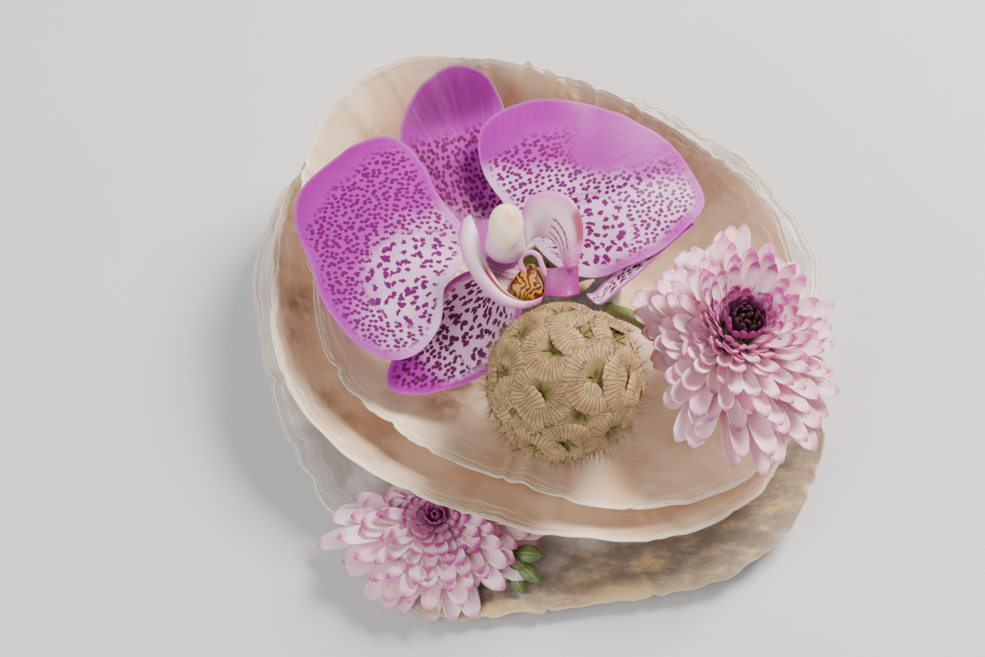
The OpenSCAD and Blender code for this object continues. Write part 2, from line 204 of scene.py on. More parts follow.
def shell(node, finish, centre, radii, rims, floor, shape, seed, ragged, ridges=(), stains_and_shades=(),
          sectors=480):
    """Dish: r = rho R(a), z = floor + (rim(a) - floor) max(0, (rho - s0)/(1 - s0))^s1. Each broken
    layer drops the face by 0.08 to 0.24 mm outside its own ragged line. Thinnest at the rim."""
    angle = np.linspace(0, 2 * np.pi, sectors, endpoint=False)
    bites = chips(angle, seed, 70)
    reach = ring_curve(radii, angle) + ragged * (wander(angle, seed, 5, 46, 0.8) - 0.9 * bites)
    rim = ring_curve(rims, angle)
    mean = float(np.mean(radii))
    face_edge = np.concatenate([np.linspace(0, 9, 46), np.linspace(9, mean * 0.985, 30)[1:]])
    back_edge = np.array([0, 0.35, 1, 2.5, 5, 9, 16, 26, 38, 50, mean * 0.97])
    edge = np.concatenate([back_edge[::-1], face_edge])[:, None] + 0 * angle[None]
    rho = 1 - edge / mean
    x = centre[0] + rho * reach * np.cos(angle)
    y = centre[1] + rho * reach * np.sin(angle)
    rise = np.maximum(0, (rho - shape[0]) / (1 - shape[0]))
    z = floor + (rim - floor) * rise ** shape[1]
    for k, (line, width, drop) in enumerate([(0.6, 0.5, 0.24), (1.4, 0.8, 0.16), (2.8, 1.5, 0.12),
                                             (5.0, 2.4, 0.08)]):
        line_wander = wander(angle, seed + 11 + k, 3, 60, 0.85)
        where = line + width * (line_wander + 0.8 * chips(angle, seed + 31 + k, 60))
        z -= drop * ease((where - edge) / 0.35 + 0.5)
    hinge = np.hypot(x - centre[0], y - centre[1] - 45)
    growth = edge * (0.35 + 0.65 * np.clip(hinge / 60, 0, 1))
    z += 0.12 * np.sin(growth * 0.55 + 1.2 * np.sin(3 * angle)) * ease(edge / 5) * ease((hinge - 8) / 10)
    # Ridge colour mask: the golden tint of the ridges near the hinge, and painted shade along a fold groove.
    ridge_and_fold_shade = 0 * edge
    for ax, ay, bx, by, high, wide in ridges:
        along = np.clip(((x - ax) * (bx - ax) + (y - ay) * (by - ay))
                        / ((bx - ax) ** 2 + (by - ay) ** 2), 0, 1)
        away = np.hypot(x - ax - along * (bx - ax), y - ay - along * (by - ay))
        bulge = np.exp(-(away / wide) ** 2) * (1 - 0.5 * along)
        z += high * bulge
        ridge_and_fold_shade = np.maximum(ridge_and_fold_shade, bulge)
    # Darker patches: real stains on the middle shell; on the top shell some of them are painted shadows.
    stain_and_shade = 0 * edge
    for sx, sy, wide, deep in stains_and_shades:
        stain_and_shade = np.maximum(stain_and_shade, deep * np.exp(-((x - sx) ** 2 + (y - sy) ** 2) / wide ** 2))
    backs = len(back_edge)
    z[:backs] -= rim_wall + (shell_wall - rim_wall) * ease(edge[:backs] / 9)
    z = np.maximum(z, 0.0)
    rings = np.stack([x, y, z], -1)[None]
    made = skin(node + "_nacre", rings, finish, "shell_stand",
                {"edge": edge, "ridge_and_fold_shade": ridge_and_fold_shade, "stain_and_shade": stain_and_shade, "growth": growth})
    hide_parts(node)
    return made


layers, given, result = group("Nacre layers", [("Tone", "Float")],
                              [("Mottle", "Float"), ("Rings", "Float"), ("Chalk", "Float"),
                               ("Relief", "Float")])
spot = place_mm(layers)
clouds = grain(layers, spot, 0.055, 4, 0.55)
fine = grain(layers, spot, 1.1, 5, 0.65)
swirl = put(layers, "CombineXYZ", {0: calc(layers, "MULTIPLY", mark(layers, "growth"), 1.0),
                                   1: calc(layers, "MULTIPLY", clouds, 3.0)}).outputs[0]
rings_line = grain(layers, swirl, 0.34, 3, 0.5)
rim_line = calc(layers, "ADD", mark(layers, "edge"), calc(layers, "MULTIPLY", fine, 3.2))
chalk = steps(layers, rim_line, 1.8, 3.6, 1.0, 0.0)
layers.links.new(calc(layers, "MULTIPLY", clouds, given["Tone"]), result["Mottle"])
layers.links.new(rings_line, result["Rings"])
layers.links.new(chalk, result["Chalk"])
crumble = calc(layers, "MULTIPLY", fine, calc(layers, "ADD", chalk, 0.06))
layers.links.new(calc(layers, "ADD", crumble, calc(layers, "MULTIPLY", rings_line, 0.05)),
                 result["Relief"])


def nacre(name, deep, light, rim, stain_and_shade, ridge_and_fold_shade, rough):
    made, tree, shader = material(name, Subsurface_Weight=0.12, Subsurface_Scale=0.002,
                                  Coat_Weight=0.35, Coat_Roughness=0.25, Specular_IOR_Level=0.55)
    sheet = put(tree, "Group", {"Tone": 1.0}, node_tree=layers).outputs
    body = mix(tree, steps(tree, sheet["Mottle"], 0.36, 0.64), deep, light)
    body = mix(tree, steps(tree, sheet["Rings"], 0.45, 0.75, 0.0, 0.28), body, rim)
    # Painted highlight: within 12 mm of the rim the colour is lightened towards the light tone, standing in
    # for light caught by the rising rim.
    rim_highlight_paint = steps(tree, mark(tree, "edge"), 2.0, 12.0, 0.35, 0.0)
    body = mix(tree, rim_highlight_paint, body, light)
    speck = grain(tree, place_mm(tree), 0.5, 4, 0.6)
    # Darker patches mixed in: real stains, and on the top shell painted shadows.
    stain_and_shade_amount = calc(tree, "MULTIPLY", mark(tree, "stain_and_shade"), steps(tree, speck, 0.3, 0.6, 0.35, 1.0))
    body = mix(tree, stain_and_shade_amount, body, stain_and_shade)
    # Ridge colour: a golden tint on the ridges, and painted shade where the mask follows the fold groove.
    body = mix(tree, calc(tree, "MULTIPLY", mark(tree, "ridge_and_fold_shade"), 0.75), body, ridge_and_fold_shade)
    body = mix(tree, sheet["Chalk"], body, rim)
    tree.links.new(body, shader.inputs["Base Color"])
    tree.links.new(calc(tree, "ADD", rough, calc(tree, "MULTIPLY", sheet["Chalk"], 0.3)),
                   shader.inputs["Roughness"])
    bump(tree, shader, sheet["Relief"], 0.0007, 0.7)
    return made, tree, shader, body


top_nacre = nacre("Top shell nacre", (0.76, 0.48, 0.28, 1), (0.94, 0.73, 0.52, 1),
                  (0.98, 0.82, 0.62, 1), (0.32, 0.12, 0.05, 1), (0.80, 0.55, 0.26, 1), 0.34)[0]
middle_nacre = nacre("Middle shell nacre", (0.68, 0.42, 0.26, 1), (0.88, 0.65, 0.45, 1),
                     (0.96, 0.80, 0.61, 1), (0.20, 0.08, 0.05, 1), (0.7, 0.5, 0.3, 1), 0.36)[0]
base_nacre, tree, shader, body = nacre("Base shell nacre", (0.46, 0.42, 0.42, 1),
                                       (1.0, 0.97, 0.97, 1), (0.95, 0.85, 0.72, 1),
                                       (0.3, 0.2, 0.1, 1), (0.7, 0.5, 0.3, 1), 0.3)
spot = place_mm(tree)
across = put(tree, "SeparateXYZ", {0: spot}).outputs
corner = calc(tree, "SUBTRACT", calc(tree, "MULTIPLY", across[0], 0.5), across[1])
corner = calc(tree, "ADD", corner, calc(tree, "MULTIPLY", grain(tree, spot, 0.09, 4, 0.6), 34.0))
window = steps(tree, corner, 58.0, 78.0)
fibre = grain(tree, stretch(tree, spot, (0.16, 0.30, 0.2)), 0.8, 7, 0.72)
glassy = mix(tree, steps(tree, fibre, 0.40, 0.60), (0.20, 0.15, 0.12, 1), (0.34, 0.25, 0.18, 1))
glassy = mix(tree, steps(tree, fibre, 0.54, 0.68), glassy, (0.60, 0.38, 0.16, 1))
patch = calc(tree, "MULTIPLY", calc(tree, "ADD", grain(tree, spot, 0.06, 3, 0.6), fibre), 15.0)
flare = steps(tree, calc(tree, "ADD", mark(tree, "edge"), patch), 15.0, 20.0, 0.85, 0.0)
flare = calc(tree, "MULTIPLY", flare, steps(tree, across[0], 20.0, 48.0, 1.0, 0.15))
glassy = mix(tree, flare, glassy, (0.70, 0.48, 0.24, 1))
outer = steps(tree, mark(tree, "edge"), 0.0, 0.5, 0.7, 1.0)
tree.links.new(mix(tree, calc(tree, "MULTIPLY", window, outer), body, glassy),
               shader.inputs["Base Color"])
shader.inputs["Thin Film Thickness"].default_value = 380.0
shader.inputs["Thin Film IOR"].default_value = 1.45

stack_centre = (8, 13)
middle_radii = 62 * np.array(
    [0.82, 0.76, 0.71, 0.73, 0.79, 0.91, 1.05, 1.18, 1.18, 1.19, 1.12, 1.05, 1.06, 1.15, 1.14, 0.98])
middle_rims = [19, 23, 26, 29, 31, 32, 31.5, 30, 27, 24, 22, 21, 20, 20, 19, 18.5]
middle_floor, dish_shape = 5.2, (0.3, 1.75)
shell("base_shell", base_nacre, (0, 0), 71.5 * np.array(
    [1.00, 1.06, 1.06, 1.04, 0.98, 1.00, 1.06, 1.06, 0.95, 0.91, 0.92, 1.01, 0.93, 0.97, 1.07, 1.08]),
    [16, 17, 19, 21, 22, 21, 20, 16, 11, 8, 6, 4.5, 4.5, 5, 7.5, 12], 1.6, (0.42, 1.6), 3, 1.3)
shell("middle_shell", middle_nacre, stack_centre, middle_radii, middle_rims,
    middle_floor, dish_shape, 5, 0.7,
    stains_and_shades=[(-58.4, 8.1, 4.5, 0.75), (-59.8, 0.9, 4, 0.55), (-51.3, -16.6, 3.5, 0.5),
            (-45.4, -22.2, 3, 0.45), (-37.4, -23.8, 4, 0.4), (-37.7, -31.9, 3.5, 0.5)])
shell("top_shell", top_nacre, stack_centre, 60 * np.array(
    [0.97, 0.91, 0.78, 0.76, 0.81, 0.96, 1.18, 1.18, 1.06, 1.03, 0.96, 0.92, 0.96, 1.08, 1.16, 1.10]),
    [28, 32, 37, 41, 44.5, 45, 43, 37, 30, 27, 25, 24, 24, 24, 25, 26], 9.4, dish_shape, 8, 0.9,
    # The last ridge entry is a groove along the fold left of the dorsal sepal; the ridge colour laid along
    # it is painted shade of that fold.
    ridges=[(-1.1, 63, -9, 57, 1.3, 1.0), (-1.1, 63, -5, 56, 1.1, 0.8), (-1, 63, 3.2, 56.5, 1.3, 0.9),
            (0, 63, 11, 55, 1.3, 1.0), (4, 62, 15, 54, 0.9, 0.9), (-23, 62, -34, 44, -0.9, 4.0)],
    # On the top shell the patch at (-20, -16.5) is a painted shadow of the seed pod and the one at (-30, 57)
    # a painted shadow of the dorsal sepal; the others are a darker patch and a small speck.
    stains_and_shades=[(-39.7, 50.3, 4.5, 0.5), (-20, -16.5, 5.5, 0.8), (1.9, -31, 0.8, 1.0), (-30, 57, 5, 0.35)])

# ---------------------------------------------------------------------------------------------
# Clear glue between the shells and under the front flower, with a few stray beads that ran out.
# The hidden frog is a glazed pierced block set on a disc of putty.
# ---------------------------------------------------------------------------------------------
glue, tree, shader = material("Clear glue", Roughness=0.06, Transmission_Weight=0.85, IOR=1.47)
haze = grain(tree, place_mm(tree), 0.8, 2)
tree.links.new(mix(tree, haze, (0.85, 0.83, 0.78, 1), (0.97, 0.97, 0.95, 1)), shader.inputs["Base Color"])
bump(tree, shader, haze, 0.0004, 0.5)

glaze, tree, shader = material("Frog glaze", Roughness=0.16, Coat_Weight=0.6, Coat_Roughness=0.06)
pool = grain(tree, place_mm(tree), 0.16, 5, 0.6)
tree.links.new(mix(tree, steps(tree, pool, 0.35, 0.65), (0.13, 0.26, 0.22, 1), (0.36, 0.52, 0.44, 1)),
               shader.inputs["Base Color"])
bump(tree, shader, pool, 0.0006, 0.5)

putty, tree, shader = material("Putty", Roughness=0.75)
dents = grain(tree, place_mm(tree), 0.7, 4, 0.6)
tree.links.new(mix(tree, dents, (0.10, 0.20, 0.11, 1), (0.25, 0.38, 0.24, 1)), shader.inputs["Base Color"])
bump(tree, shader, dents, 0.0008, 0.8)

for name, finish in [("lower_glue_dabs", glue), ("upper_glue_dabs", glue), ("front_glue_dab", glue),
                     ("frog_block", glaze), ("frog_putty", putty)]:
    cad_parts[name].data.materials.clear()
    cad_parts[name].data.materials.append(finish)


def tube(path, radius, sides=10, flat=1.0, side=(1.0, 0.0, 0.0)):
    """Rings along each path: point + radius (u cos a + flat v sin a), u and v square to the path."""
    run = np.gradient(path, axis=1)
    run /= np.linalg.norm(run, axis=-1, keepdims=True)
    u = np.cross(np.asarray(side, float), run)
    u /= np.linalg.norm(u, axis=-1, keepdims=True)
    v = np.cross(run, u)
    a = np.linspace(0, 2 * np.pi, sides, endpoint=False)[:, None]
    spoke = np.cos(a) * u[:, :, None] + flat * np.sin(a) * v[:, :, None]
    return path[:, :, None] + np.asarray(radius)[..., None, None] * spoke


def beads(places, sides=16, steps_up=7):
    """Low round drops: r = R sqrt(1 - h^2) at height 0.55 h R, for h from -0.3 to 0.98."""
    h = np.linspace(-0.3, 0.98, steps_up)
    a = np.linspace(0, 2 * np.pi, sides, endpoint=False)
    at = np.array(places)[:, None, None]
    r = at[..., 3] * np.sqrt(1 - h[:, None] ** 2)
    return np.stack([at[..., 0] + r * np.cos(a), at[..., 1] + r * np.sin(a),
                     at[..., 2] + at[..., 3] * 0.55 * h[:, None] + 0 * a], -1)


skin("glue_beads", beads([(-0.3, -58.7, 2.9, 1.5), (1.9, -60.3, 3.0, 1.1), (-2.2, -29.9, 15.9, 0.7),
                          (-17.5, -29.0, 7.7, 1.2), (3.8, -58.2, 2.9, 0.7)]),
     glue, "shell_stand")

# ---------------------------------------------------------------------------------------------
# Orchid: three sepals behind two broad petals. Each is a soft closed sheet, 0.9 mm at the base
# and 0.3 mm at the rim, white near the heart, violet outside and spotted along its veins.
# ---------------------------------------------------------------------------------------------
spots, given, result = group("Orchid spots", [("Fine size", "Float"), ("Coarse size", "Float")],
                             [("Spots", "Float"), ("Veins", "Float")])
sheet = way(spots, "sheet")
fan = way(spots, "fan")
jitter = put(spots, "TexNoise", {"Vector": sheet, "Scale": 0.55, "Detail": 2.0}).outputs[1]
bent = put(spots, "VectorMath", {0: jitter, 1: (2.0, 2.0, 0.0), 2: fan},
           operation="MULTIPLY_ADD").outputs[0]
small = put(spots, "TexVoronoi", {"Vector": stretch(spots, sheet, (0.86, 0.66, 1)), "Scale": 1.0,
                                  "Randomness": 0.85}, voronoi_dimensions="2D").outputs["Distance"]
large = put(spots, "TexVoronoi", {"Vector": stretch(spots, bent, (0.74, 0.40, 1)), "Scale": 1.0,
                                  "Randomness": 0.9}, voronoi_dimensions="2D").outputs["Distance"]
wobble = calc(spots, "MULTIPLY", grain(spots, sheet, 1.3, 2), 0.20)
small_spot = steps(spots, calc(spots, "SUBTRACT", calc(spots, "ADD", small, wobble), given["Fine size"]),
                   -0.04, 0.05, 1.0, 0.0)
large_spot = steps(spots, calc(spots, "SUBTRACT", calc(spots, "ADD", large, wobble), given["Coarse size"]),
                   -0.03, 0.04, 1.0, 0.0)
blotched = calc(spots, "ADD", mark(spots, "blotch"), calc(spots, "MULTIPLY", wobble, 0.8))
pick = steps(spots, blotched, 0.5, 0.66)
spots.links.new(put(spots, "Mix", {0: pick, 2: small_spot, 3: large_spot}).outputs[0], result["Spots"])
spots.links.new(grain(spots, stretch(spots, fan, (1.1, 0.06, 1)), 1.0, 3, 0.55), result["Veins"])


def tepal_finish(name, white, violet, deep, spot_colour, fine, coarse):
    made, tree, shader = material(name, Roughness=0.46, Subsurface_Weight=0.22, Subsurface_Scale=0.0015,
                                  Specular_IOR_Level=0.25)
    look = put(tree, "Group", {"Fine size": fine, "Coarse size": coarse}, node_tree=spots).outputs
    cloud = grain(tree, way(tree, "sheet"), 0.12, 3)
    tint = calc(tree, "ADD", mark(tree, "tint"), steps(tree, cloud, 0.3, 0.7, -0.12, 0.12))
    ground = mix(tree, steps(tree, tint, 0.0, 0.75), white, violet)
    ground = mix(tree, steps(tree, mark(tree, "deep"), 0.0, 1.0), ground, deep)
    ground = mix(tree, steps(tree, look["Veins"], 0.45, 0.75, 0.0, 0.10), ground, deep)
    pale = steps(tree, mark(tree, "edge"), 0.0, 1.1, 0.28, 0.0)
    ground = mix(tree, pale, ground, (0.58, 0.22, 0.56, 1))
    veil = calc(tree, "ADD", calc(tree, "MULTIPLY", tint, 0.55), mark(tree, "deep"))
    fade = steps(tree, veil, 0.62, 1.05, 1.0, 0.0)
    inside = steps(tree, mark(tree, "edge"), 0.8, 3.2)
    shown = calc(tree, "MULTIPLY", calc(tree, "MULTIPLY", look["Spots"], fade), inside)
    tree.links.new(mix(tree, shown, ground, spot_colour), shader.inputs["Base Color"])
    bump(tree, shader, look["Veins"], 0.00035, 0.6)
    return made


petal_finish = tepal_finish("Orchid petal", (0.76, 0.48, 0.70, 1), (0.38, 0.025, 0.35, 1),
                            (0.30, 0.002, 0.27, 1), (0.15, 0.001, 0.11, 1), 0.47, 0.43)
sepal_finish = tepal_finish("Orchid sepal", (0.74, 0.46, 0.66, 1), (0.36, 0.012, 0.32, 1),
                            (0.13, 0.0003, 0.11, 1), (0.11, 0.001, 0.06, 1), 0.49, 0.47)


def basis(along, face):
    y = np.array(along, float) / np.linalg.norm(along)
    x = np.cross(y, face)
    x /= np.linalg.norm(x)
    return x, y, np.cross(x, y)


def tepal(node, finish, at, along, face, centre, radii, height, tint, deep, blotch, seed,
          wave=0.5, sectors=168):
    """Sheet over p = centre + rho R(a), height(x, y) plus a rim wave rho^4 sin; the underside lies
    0.28 + 0.6 (1 - rho^2) mm lower. x runs across the tepal and y from its base to its tip."""
    ux, uy, uz = basis(along, face)
    angle = np.linspace(0, 2 * np.pi, sectors, endpoint=False)
    reach = ring_curve(radii, angle) * (1 + 0.008 * wander(angle, seed, 5, 30, 0.8))
    face_rho = np.concatenate([[1, 0.995, 0.985, 0.97], np.linspace(0.95, 0.02, 40)])
    back_rho = np.concatenate([np.linspace(0.02, 0.95, 18), [0.985, 1]])
    rho = np.concatenate([back_rho, face_rho])[:, None] + 0 * angle
    x = centre[0] + rho * reach * np.cos(angle)
    y = centre[1] + rho * reach * np.sin(angle)
    z = height(x, y) + wave * rho ** 4 * wander(angle, seed + 1, 3, 9, 0.5)
    z[:len(back_rho)] -= 0.28 + 0.6 * (1 - rho[:len(back_rho)] ** 2)
    rings = np.asarray(at) + x[..., None] * ux + y[..., None] * uy + z[..., None] * uz
    edge = (1 - rho) * reach
    turn = np.arctan2(x, y + 6)
    span = np.hypot(x, y + 6)
    made = skin(node + "_sheet", rings[None], finish, "orchid",
                {"edge": edge, "tint": tint(x, y, edge), "deep": deep(x, y, edge),
                 "blotch": blotch(x, y, edge)},
                {"sheet": np.stack([x, y, 0 * x], -1)[None],
                 "fan": np.stack([turn * 19, span, 0 * x], -1)[None]})
    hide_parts(node)
    return made


heart = np.array([-6, 10.5, 43])
tepal("orchid_left_petal", petal_finish, heart + [-4.5, 1, 1], [-46.5, 6.5, -2.5],
      [0.1, -0.2, 0.95], (-0.9, 27.3),
      [27.3, 27.2, 25.9, 25.6, 22.4, 18.4, 17.7, 19.4, 22.0, 26.5, 30.0, 26.6, 20.4, 21.3, 21.7, 19.1,
       18.7, 22.6],
      lambda x, y: 0.4 + 2.2 * np.sin(y / 16) - 0.0021 * y ** 2 - 0.0022 * x ** 2
      - 0.4 * np.exp(-((x + 1.5) / 2.6) ** 2) * np.exp(-y / 20),
      lambda x, y, e: np.maximum(0.12 + 0.88 * ease((np.hypot(x + 12, y - 12) - 8) / 24),
                                 0.75 * ease(1 - e / 6) * ease((y - 6) / 18)),
      lambda x, y, e: 0.85 * ease((np.hypot(x + 10, y - 10) - 33) / 13),
      lambda x, y, e: ease(1.3 - np.hypot((x + 9) / 15, (y - 15) / 19)), 21, 0.7)
tepal("orchid_right_petal", petal_finish, heart + [4, 8, 1], [38, 15.5, 3],
      [-0.05, -0.3, 0.95], (-3.8, 18.4),
      [22.7, 23.7, 25.6, 28.8, 25.3, 22.3, 20.0, 19.2, 20.1, 22.5, 26.7, 29.6, 26.2, 21.5, 20.1, 20.6,
       22.7, 23.7],
      lambda x, y: 0.4 + 2.4 * np.sin(y / 15) - 0.0022 * y ** 2 - 0.0020 * (x + 4) ** 2
      - 1.0 * np.exp(-((x - 0.5 - 0.02 * y) / 1.8) ** 2) * np.exp(-((y - 18) / 15) ** 2),
      lambda x, y, e: np.maximum(0.15 + 0.85 * ease((0.5 * y - 10 - x) / 15),
                                 0.75 * ease(1 - e / 6) * ease((y - 4) / 16)),
      lambda x, y, e: np.maximum(0.75 * ease((0.42 * y - 22 - x + 0.02 * (y - 20) ** 2) / 9),
                                 0.95 * np.exp(-np.hypot((x + 10) / 8, (y - 28) / 13) ** 2)),
      lambda x, y, e: ease(1.3 - np.hypot((x - 8) / 13, (y - 12) / 15)), 31, 0.7)
tepal("orchid_dorsal_sepal", sepal_finish, heart + [-3.5, 4, -5.6], [-14.5, 49, 9.6],
      [0.05, -0.3, 0.95], (-0.5, 28.8),
      [12.9, 14.0, 16.5, 20.1, 21.1, 19.1, 17.0, 15.7, 14.9, 14.1, 14.2, 15.6, 18.1, 20.7, 21.9, 17.5,
       14.2, 12.8],
      lambda x, y: 1.2 * np.sin(y / 20) + 0.0022 * x ** 2 * (y / 30) - 0.15 * np.exp(-(x / 3.0) ** 2),
      lambda x, y, e: np.maximum(0.45 + 0.55 * ease((y - 6) / 20), 0.8 * ease(1 - e / 3)),
      lambda x, y, e: ease((y - 28) / 12) * (0.75 + 0.25 * ease((e - 1) / 6)),
      lambda x, y, e: ease((9 - y) / 8), 41, 0.4)
tepal("orchid_left_sepal", sepal_finish, heart + [-4, -4, -5], [-26, -25, -9.4],
      [0.2, -0.3, 0.9], (-3.5, 15.6),
      [8.8, 8.4, 10.0, 15.9, 20.8, 17.3, 13.5, 12.0, 11.3, 11.1, 10.9, 12.2, 15.5, 18.7, 17.5, 16.6,
       13.9, 10.6],
      lambda x, y: -0.7 * np.exp(-((x + 1) / 1.3) ** 2) * ease(y / 30) + 0.006 * x ** 2,
      lambda x, y, e: np.maximum(0.1 + 0.9 * ease((y - 20) / 12), 0.85 * ease(1 - e / 3)),
      lambda x, y, e: 0 * x,
      lambda x, y, e: ease((24 - y) / 10), 51, 0.3)


def spline(points, count):
    """Smooth open curve through the points: Catmull-Rom with doubled ends."""
    p = np.asarray(points, float)
    p = np.concatenate([[2 * p[0] - p[1]], p, [2 * p[-1] - p[-2]]])
    s = np.linspace(0, len(p) - 3 - 1e-6, count)
    i = np.floor(s).astype(int)
    t = (s - i)[:, None]
    a, b, c, d = (p[i + k] for k in range(4))
    return b + 0.5 * t * (c - a + t * (2 * a - 5 * b + 4 * c - d + t * (3 * (b - c) + d - a)))


def strip(edge_a, edge_b, bulge, thick, count=44, across=15, taper=0.25):
    """Sheet between two curves, lifted along its own normal by bulge 4t(1 - t) and closed all
    round; the wall thins to its edges. Gives rings along the length with t and s for marks."""
    a, b = spline(edge_a, count), spline(edge_b, count)
    t = np.linspace(0, 1, across)
    flat = a[:, None] * (1 - t)[:, None] + b[:, None] * t[:, None]
    normal = np.cross(np.gradient(flat, axis=0), np.gradient(flat, axis=1))
    normal /= np.linalg.norm(normal, axis=-1, keepdims=True) + 1e-9
    arch = (4 * t * (1 - t))[None, :, None]
    s = np.linspace(0, 1, count)[:, None, None]
    mid = flat + bulge * arch * normal * np.sin(np.pi * (0.08 + 0.84 * s))
    wall = thick * (taper + (1 - taper) * arch) * np.sqrt(np.clip(1 - (2 * s - 1) ** 6, 0.05, 1)) / 2
    rings = np.concatenate([mid + wall * normal, (mid - wall * normal)[:, ::-1]], axis=1)
    ts = np.concatenate([t, t[::-1]])[None, :] + 0 * s[..., 0]
    return rings[None], ts[None], (s[..., 0] + 0 * ts)[None]


rings, t_mark, s_mark = strip(
    [(12.8, 2.0, 39.0), (16.0, -0.4, 38.6), (21.4, 4.0, 38.8), (27.1, 8.9, 39.4), (32.8, 14.6, 40.0),
     (39.4, 20.6, 40.0)],
    [(12.9, 2.6, 38.4), (15.0, 3.4, 38.2), (19.4, 8.4, 39.0), (25.1, 12.9, 40.2), (31.3, 17.4, 41.0),
     (39.2, 21.1, 40.4)],
    -1.2, 0.9, 60)
across_mm = (t_mark - 0.5) * 9
along_mm = s_mark * 34
made = skin("orchid_right_sepal_sheet", rings, sepal_finish, "orchid",
            {"edge": 4.6 - np.abs(across_mm),
             "tint": np.maximum(ease((s_mark - 0.72) / 0.2),
                                0.85 * ease((np.abs(t_mark - 0.5) - 0.3) / 0.15)),
             "deep": 0 * s_mark, "blotch": ease((0.5 - s_mark) / 0.3)},
            {"sheet": np.stack([across_mm, along_mm, 0 * along_mm], -1),
             "fan": np.stack([across_mm * 1.2, along_mm, 0 * along_mm], -1)})
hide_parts("orchid_right_sepal")

# ---------------------------------------------------------------------------------------------
# Orchid heart: a waxy column with its cream anther cap, and the lip of three lobes round a
# yellow callus, white with crimson stripes and a magenta middle lobe. Fleshy, 0.8 to 1.1 mm thick.
# ---------------------------------------------------------------------------------------------
def waxy(name, colour_at):
    made, tree, shader = material(name, Roughness=0.33, Subsurface_Weight=0.3, Subsurface_Scale=0.0016,
                                  Specular_IOR_Level=0.5)
    cells = grain(tree, place_mm(tree), 2.2, 3)
    tree.links.new(colour_at(tree, cells), shader.inputs["Base Color"])
    bump(tree, shader, cells, 0.0002, 0.5)
    return made


def lip_colour(tree, cells):
    t, s = mark(tree, "across"), mark(tree, "along")
    blush = steps(tree, calc(tree, "ADD", s, calc(tree, "MULTIPLY", cells, 0.5)), 0.75, 1.25)
    blush = calc(tree, "MAXIMUM", blush, steps(tree, t, 0.0, 0.45, 0.75, 0.08))
    base = mix(tree, blush, (0.94, 0.74, 0.82, 1), (0.56, 0.08, 0.38, 1))
    bent = calc(tree, "ADD", t, calc(tree, "MULTIPLY", cells, 0.12))
    line = calc(tree, "SINE", calc(tree, "MULTIPLY", bent, 38.0))
    # The stripes and crimson are the lip's own markings; on the dark cup plate they are painted shade of the
    # lip's hollow.
    inside = calc(tree, "MULTIPLY", steps(tree, line, 0.45, 0.8), mark(tree, "stripes_and_shade"))
    base = mix(tree, inside, base, (0.26, 0.01, 0.05, 1))
    base = mix(tree, mark(tree, "crimson_and_shade"), base, (0.26, 0.004, 0.03, 1))
    base = mix(tree, mark(tree, "gold"), base, (0.60, 0.34, 0.05, 1))
    return mix(tree, mark(tree, "violet"), base, (0.28, 0.004, 0.18, 1))


lip_finish = waxy("Orchid lip", lip_colour)


def lip(name, edge_a, edge_b, bulge, thick, node=None, finish=lip_finish, count=48,
        stripes_and_shade=None, crimson_and_shade=None, gold=None, violet=None):
    rings, t, s = strip(edge_a, edge_b, bulge, thick, count)
    empty = 0 * t
    given_marks = {"across": t, "along": s}
    for label, formula in [("stripes_and_shade", stripes_and_shade), ("crimson_and_shade", crimson_and_shade), ("gold", gold), ("violet", violet)]:
        given_marks[label] = empty if formula is None else formula(t, s)
    made = skin(name, rings, finish, "orchid", given_marks)
    if node:
        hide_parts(node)
    return made


lip("orchid_lip_left_lobe_sheet",
    [(-17.5, 13.4, 55), (-18, 8.5, 55), (-16.5, 3.7, 53), (-13.4, -0.9, 50), (-8.9, -4.2, 47),
     (-3.4, -4.8, 45), (1.6, -2.7, 44), (3.3, 0.2, 44)],
    [(-15.2, 14.6, 56.6), (-13.2, 9.9, 55), (-12, 5.8, 52), (-9.6, 2, 49), (-6.3, -0.9, 46),
     (-2.7, -2.4, 44.5), (0.6, -1.6, 44), (2.6, 0.6, 44)], 1.1, 0.9, "orchid_lip_left_lobe",
    crimson_and_shade=lambda t, s: ease((0.14 - np.abs(t - 0.66)) / 0.05) * ease((s - 0.25) / 0.15),
    gold=lambda t, s: ease((t - 0.80) / 0.05) * ease((s - 0.4) / 0.12) * 0.9,
    violet=lambda t, s: 0.35 * ease((0.2 - s) / 0.2))
lip("orchid_lip_right_lobe_sheet",
    [(-3.4, 14.6, 55), (-1.2, 18.4, 57.6), (3.2, 19.9, 58.6), (7.2, 18.8, 58.6), (10.1, 16.1, 57.6),
     (11.5, 12, 55.6), (11.3, 7.4, 52.8), (10.2, 3.6, 50.4)],
    [(-1.9, 9.6, 49.6), (-0.4, 11.8, 49.2), (1.9, 12.9, 48.6), (4.1, 12.2, 48.2), (5.7, 10.2, 47.8),
     (6.4, 8.2, 47.6), (6.8, 6.2, 47.8), (7.4, 3.9, 48.6)], -1.9, 0.9, "orchid_lip_right_lobe",
    stripes_and_shade=lambda t, s: ease((t - 0.35) / 0.1) * ease((0.24 - np.abs(s - 0.60)) / 0.06),
    crimson_and_shade=lambda t, s: (0.8 * ease((0.16 - np.abs(t - 0.08)) / 0.08)
                          * ease((0.16 - np.abs(s - 0.70)) / 0.08)))
lip("orchid_lip_middle_lobe_sheet",
    [(2.3, 4.9, 48.0), (4.4, 3.9, 49.2), (6.4, 4.2, 49.7), (8.5, 4.7, 49.6), (10.5, 5.6, 48.9)],
    [(2.4, -1.7, 45.6), (4.3, -2.3, 46.8), (6.5, -2.9, 47.2), (8.8, -2.4, 46.8), (10.9, -1.2, 45.4)],
    1.1, 1.1, "orchid_lip_middle_lobe", count=30,
    violet=lambda t, s: 0.88 + 0.1 * t)
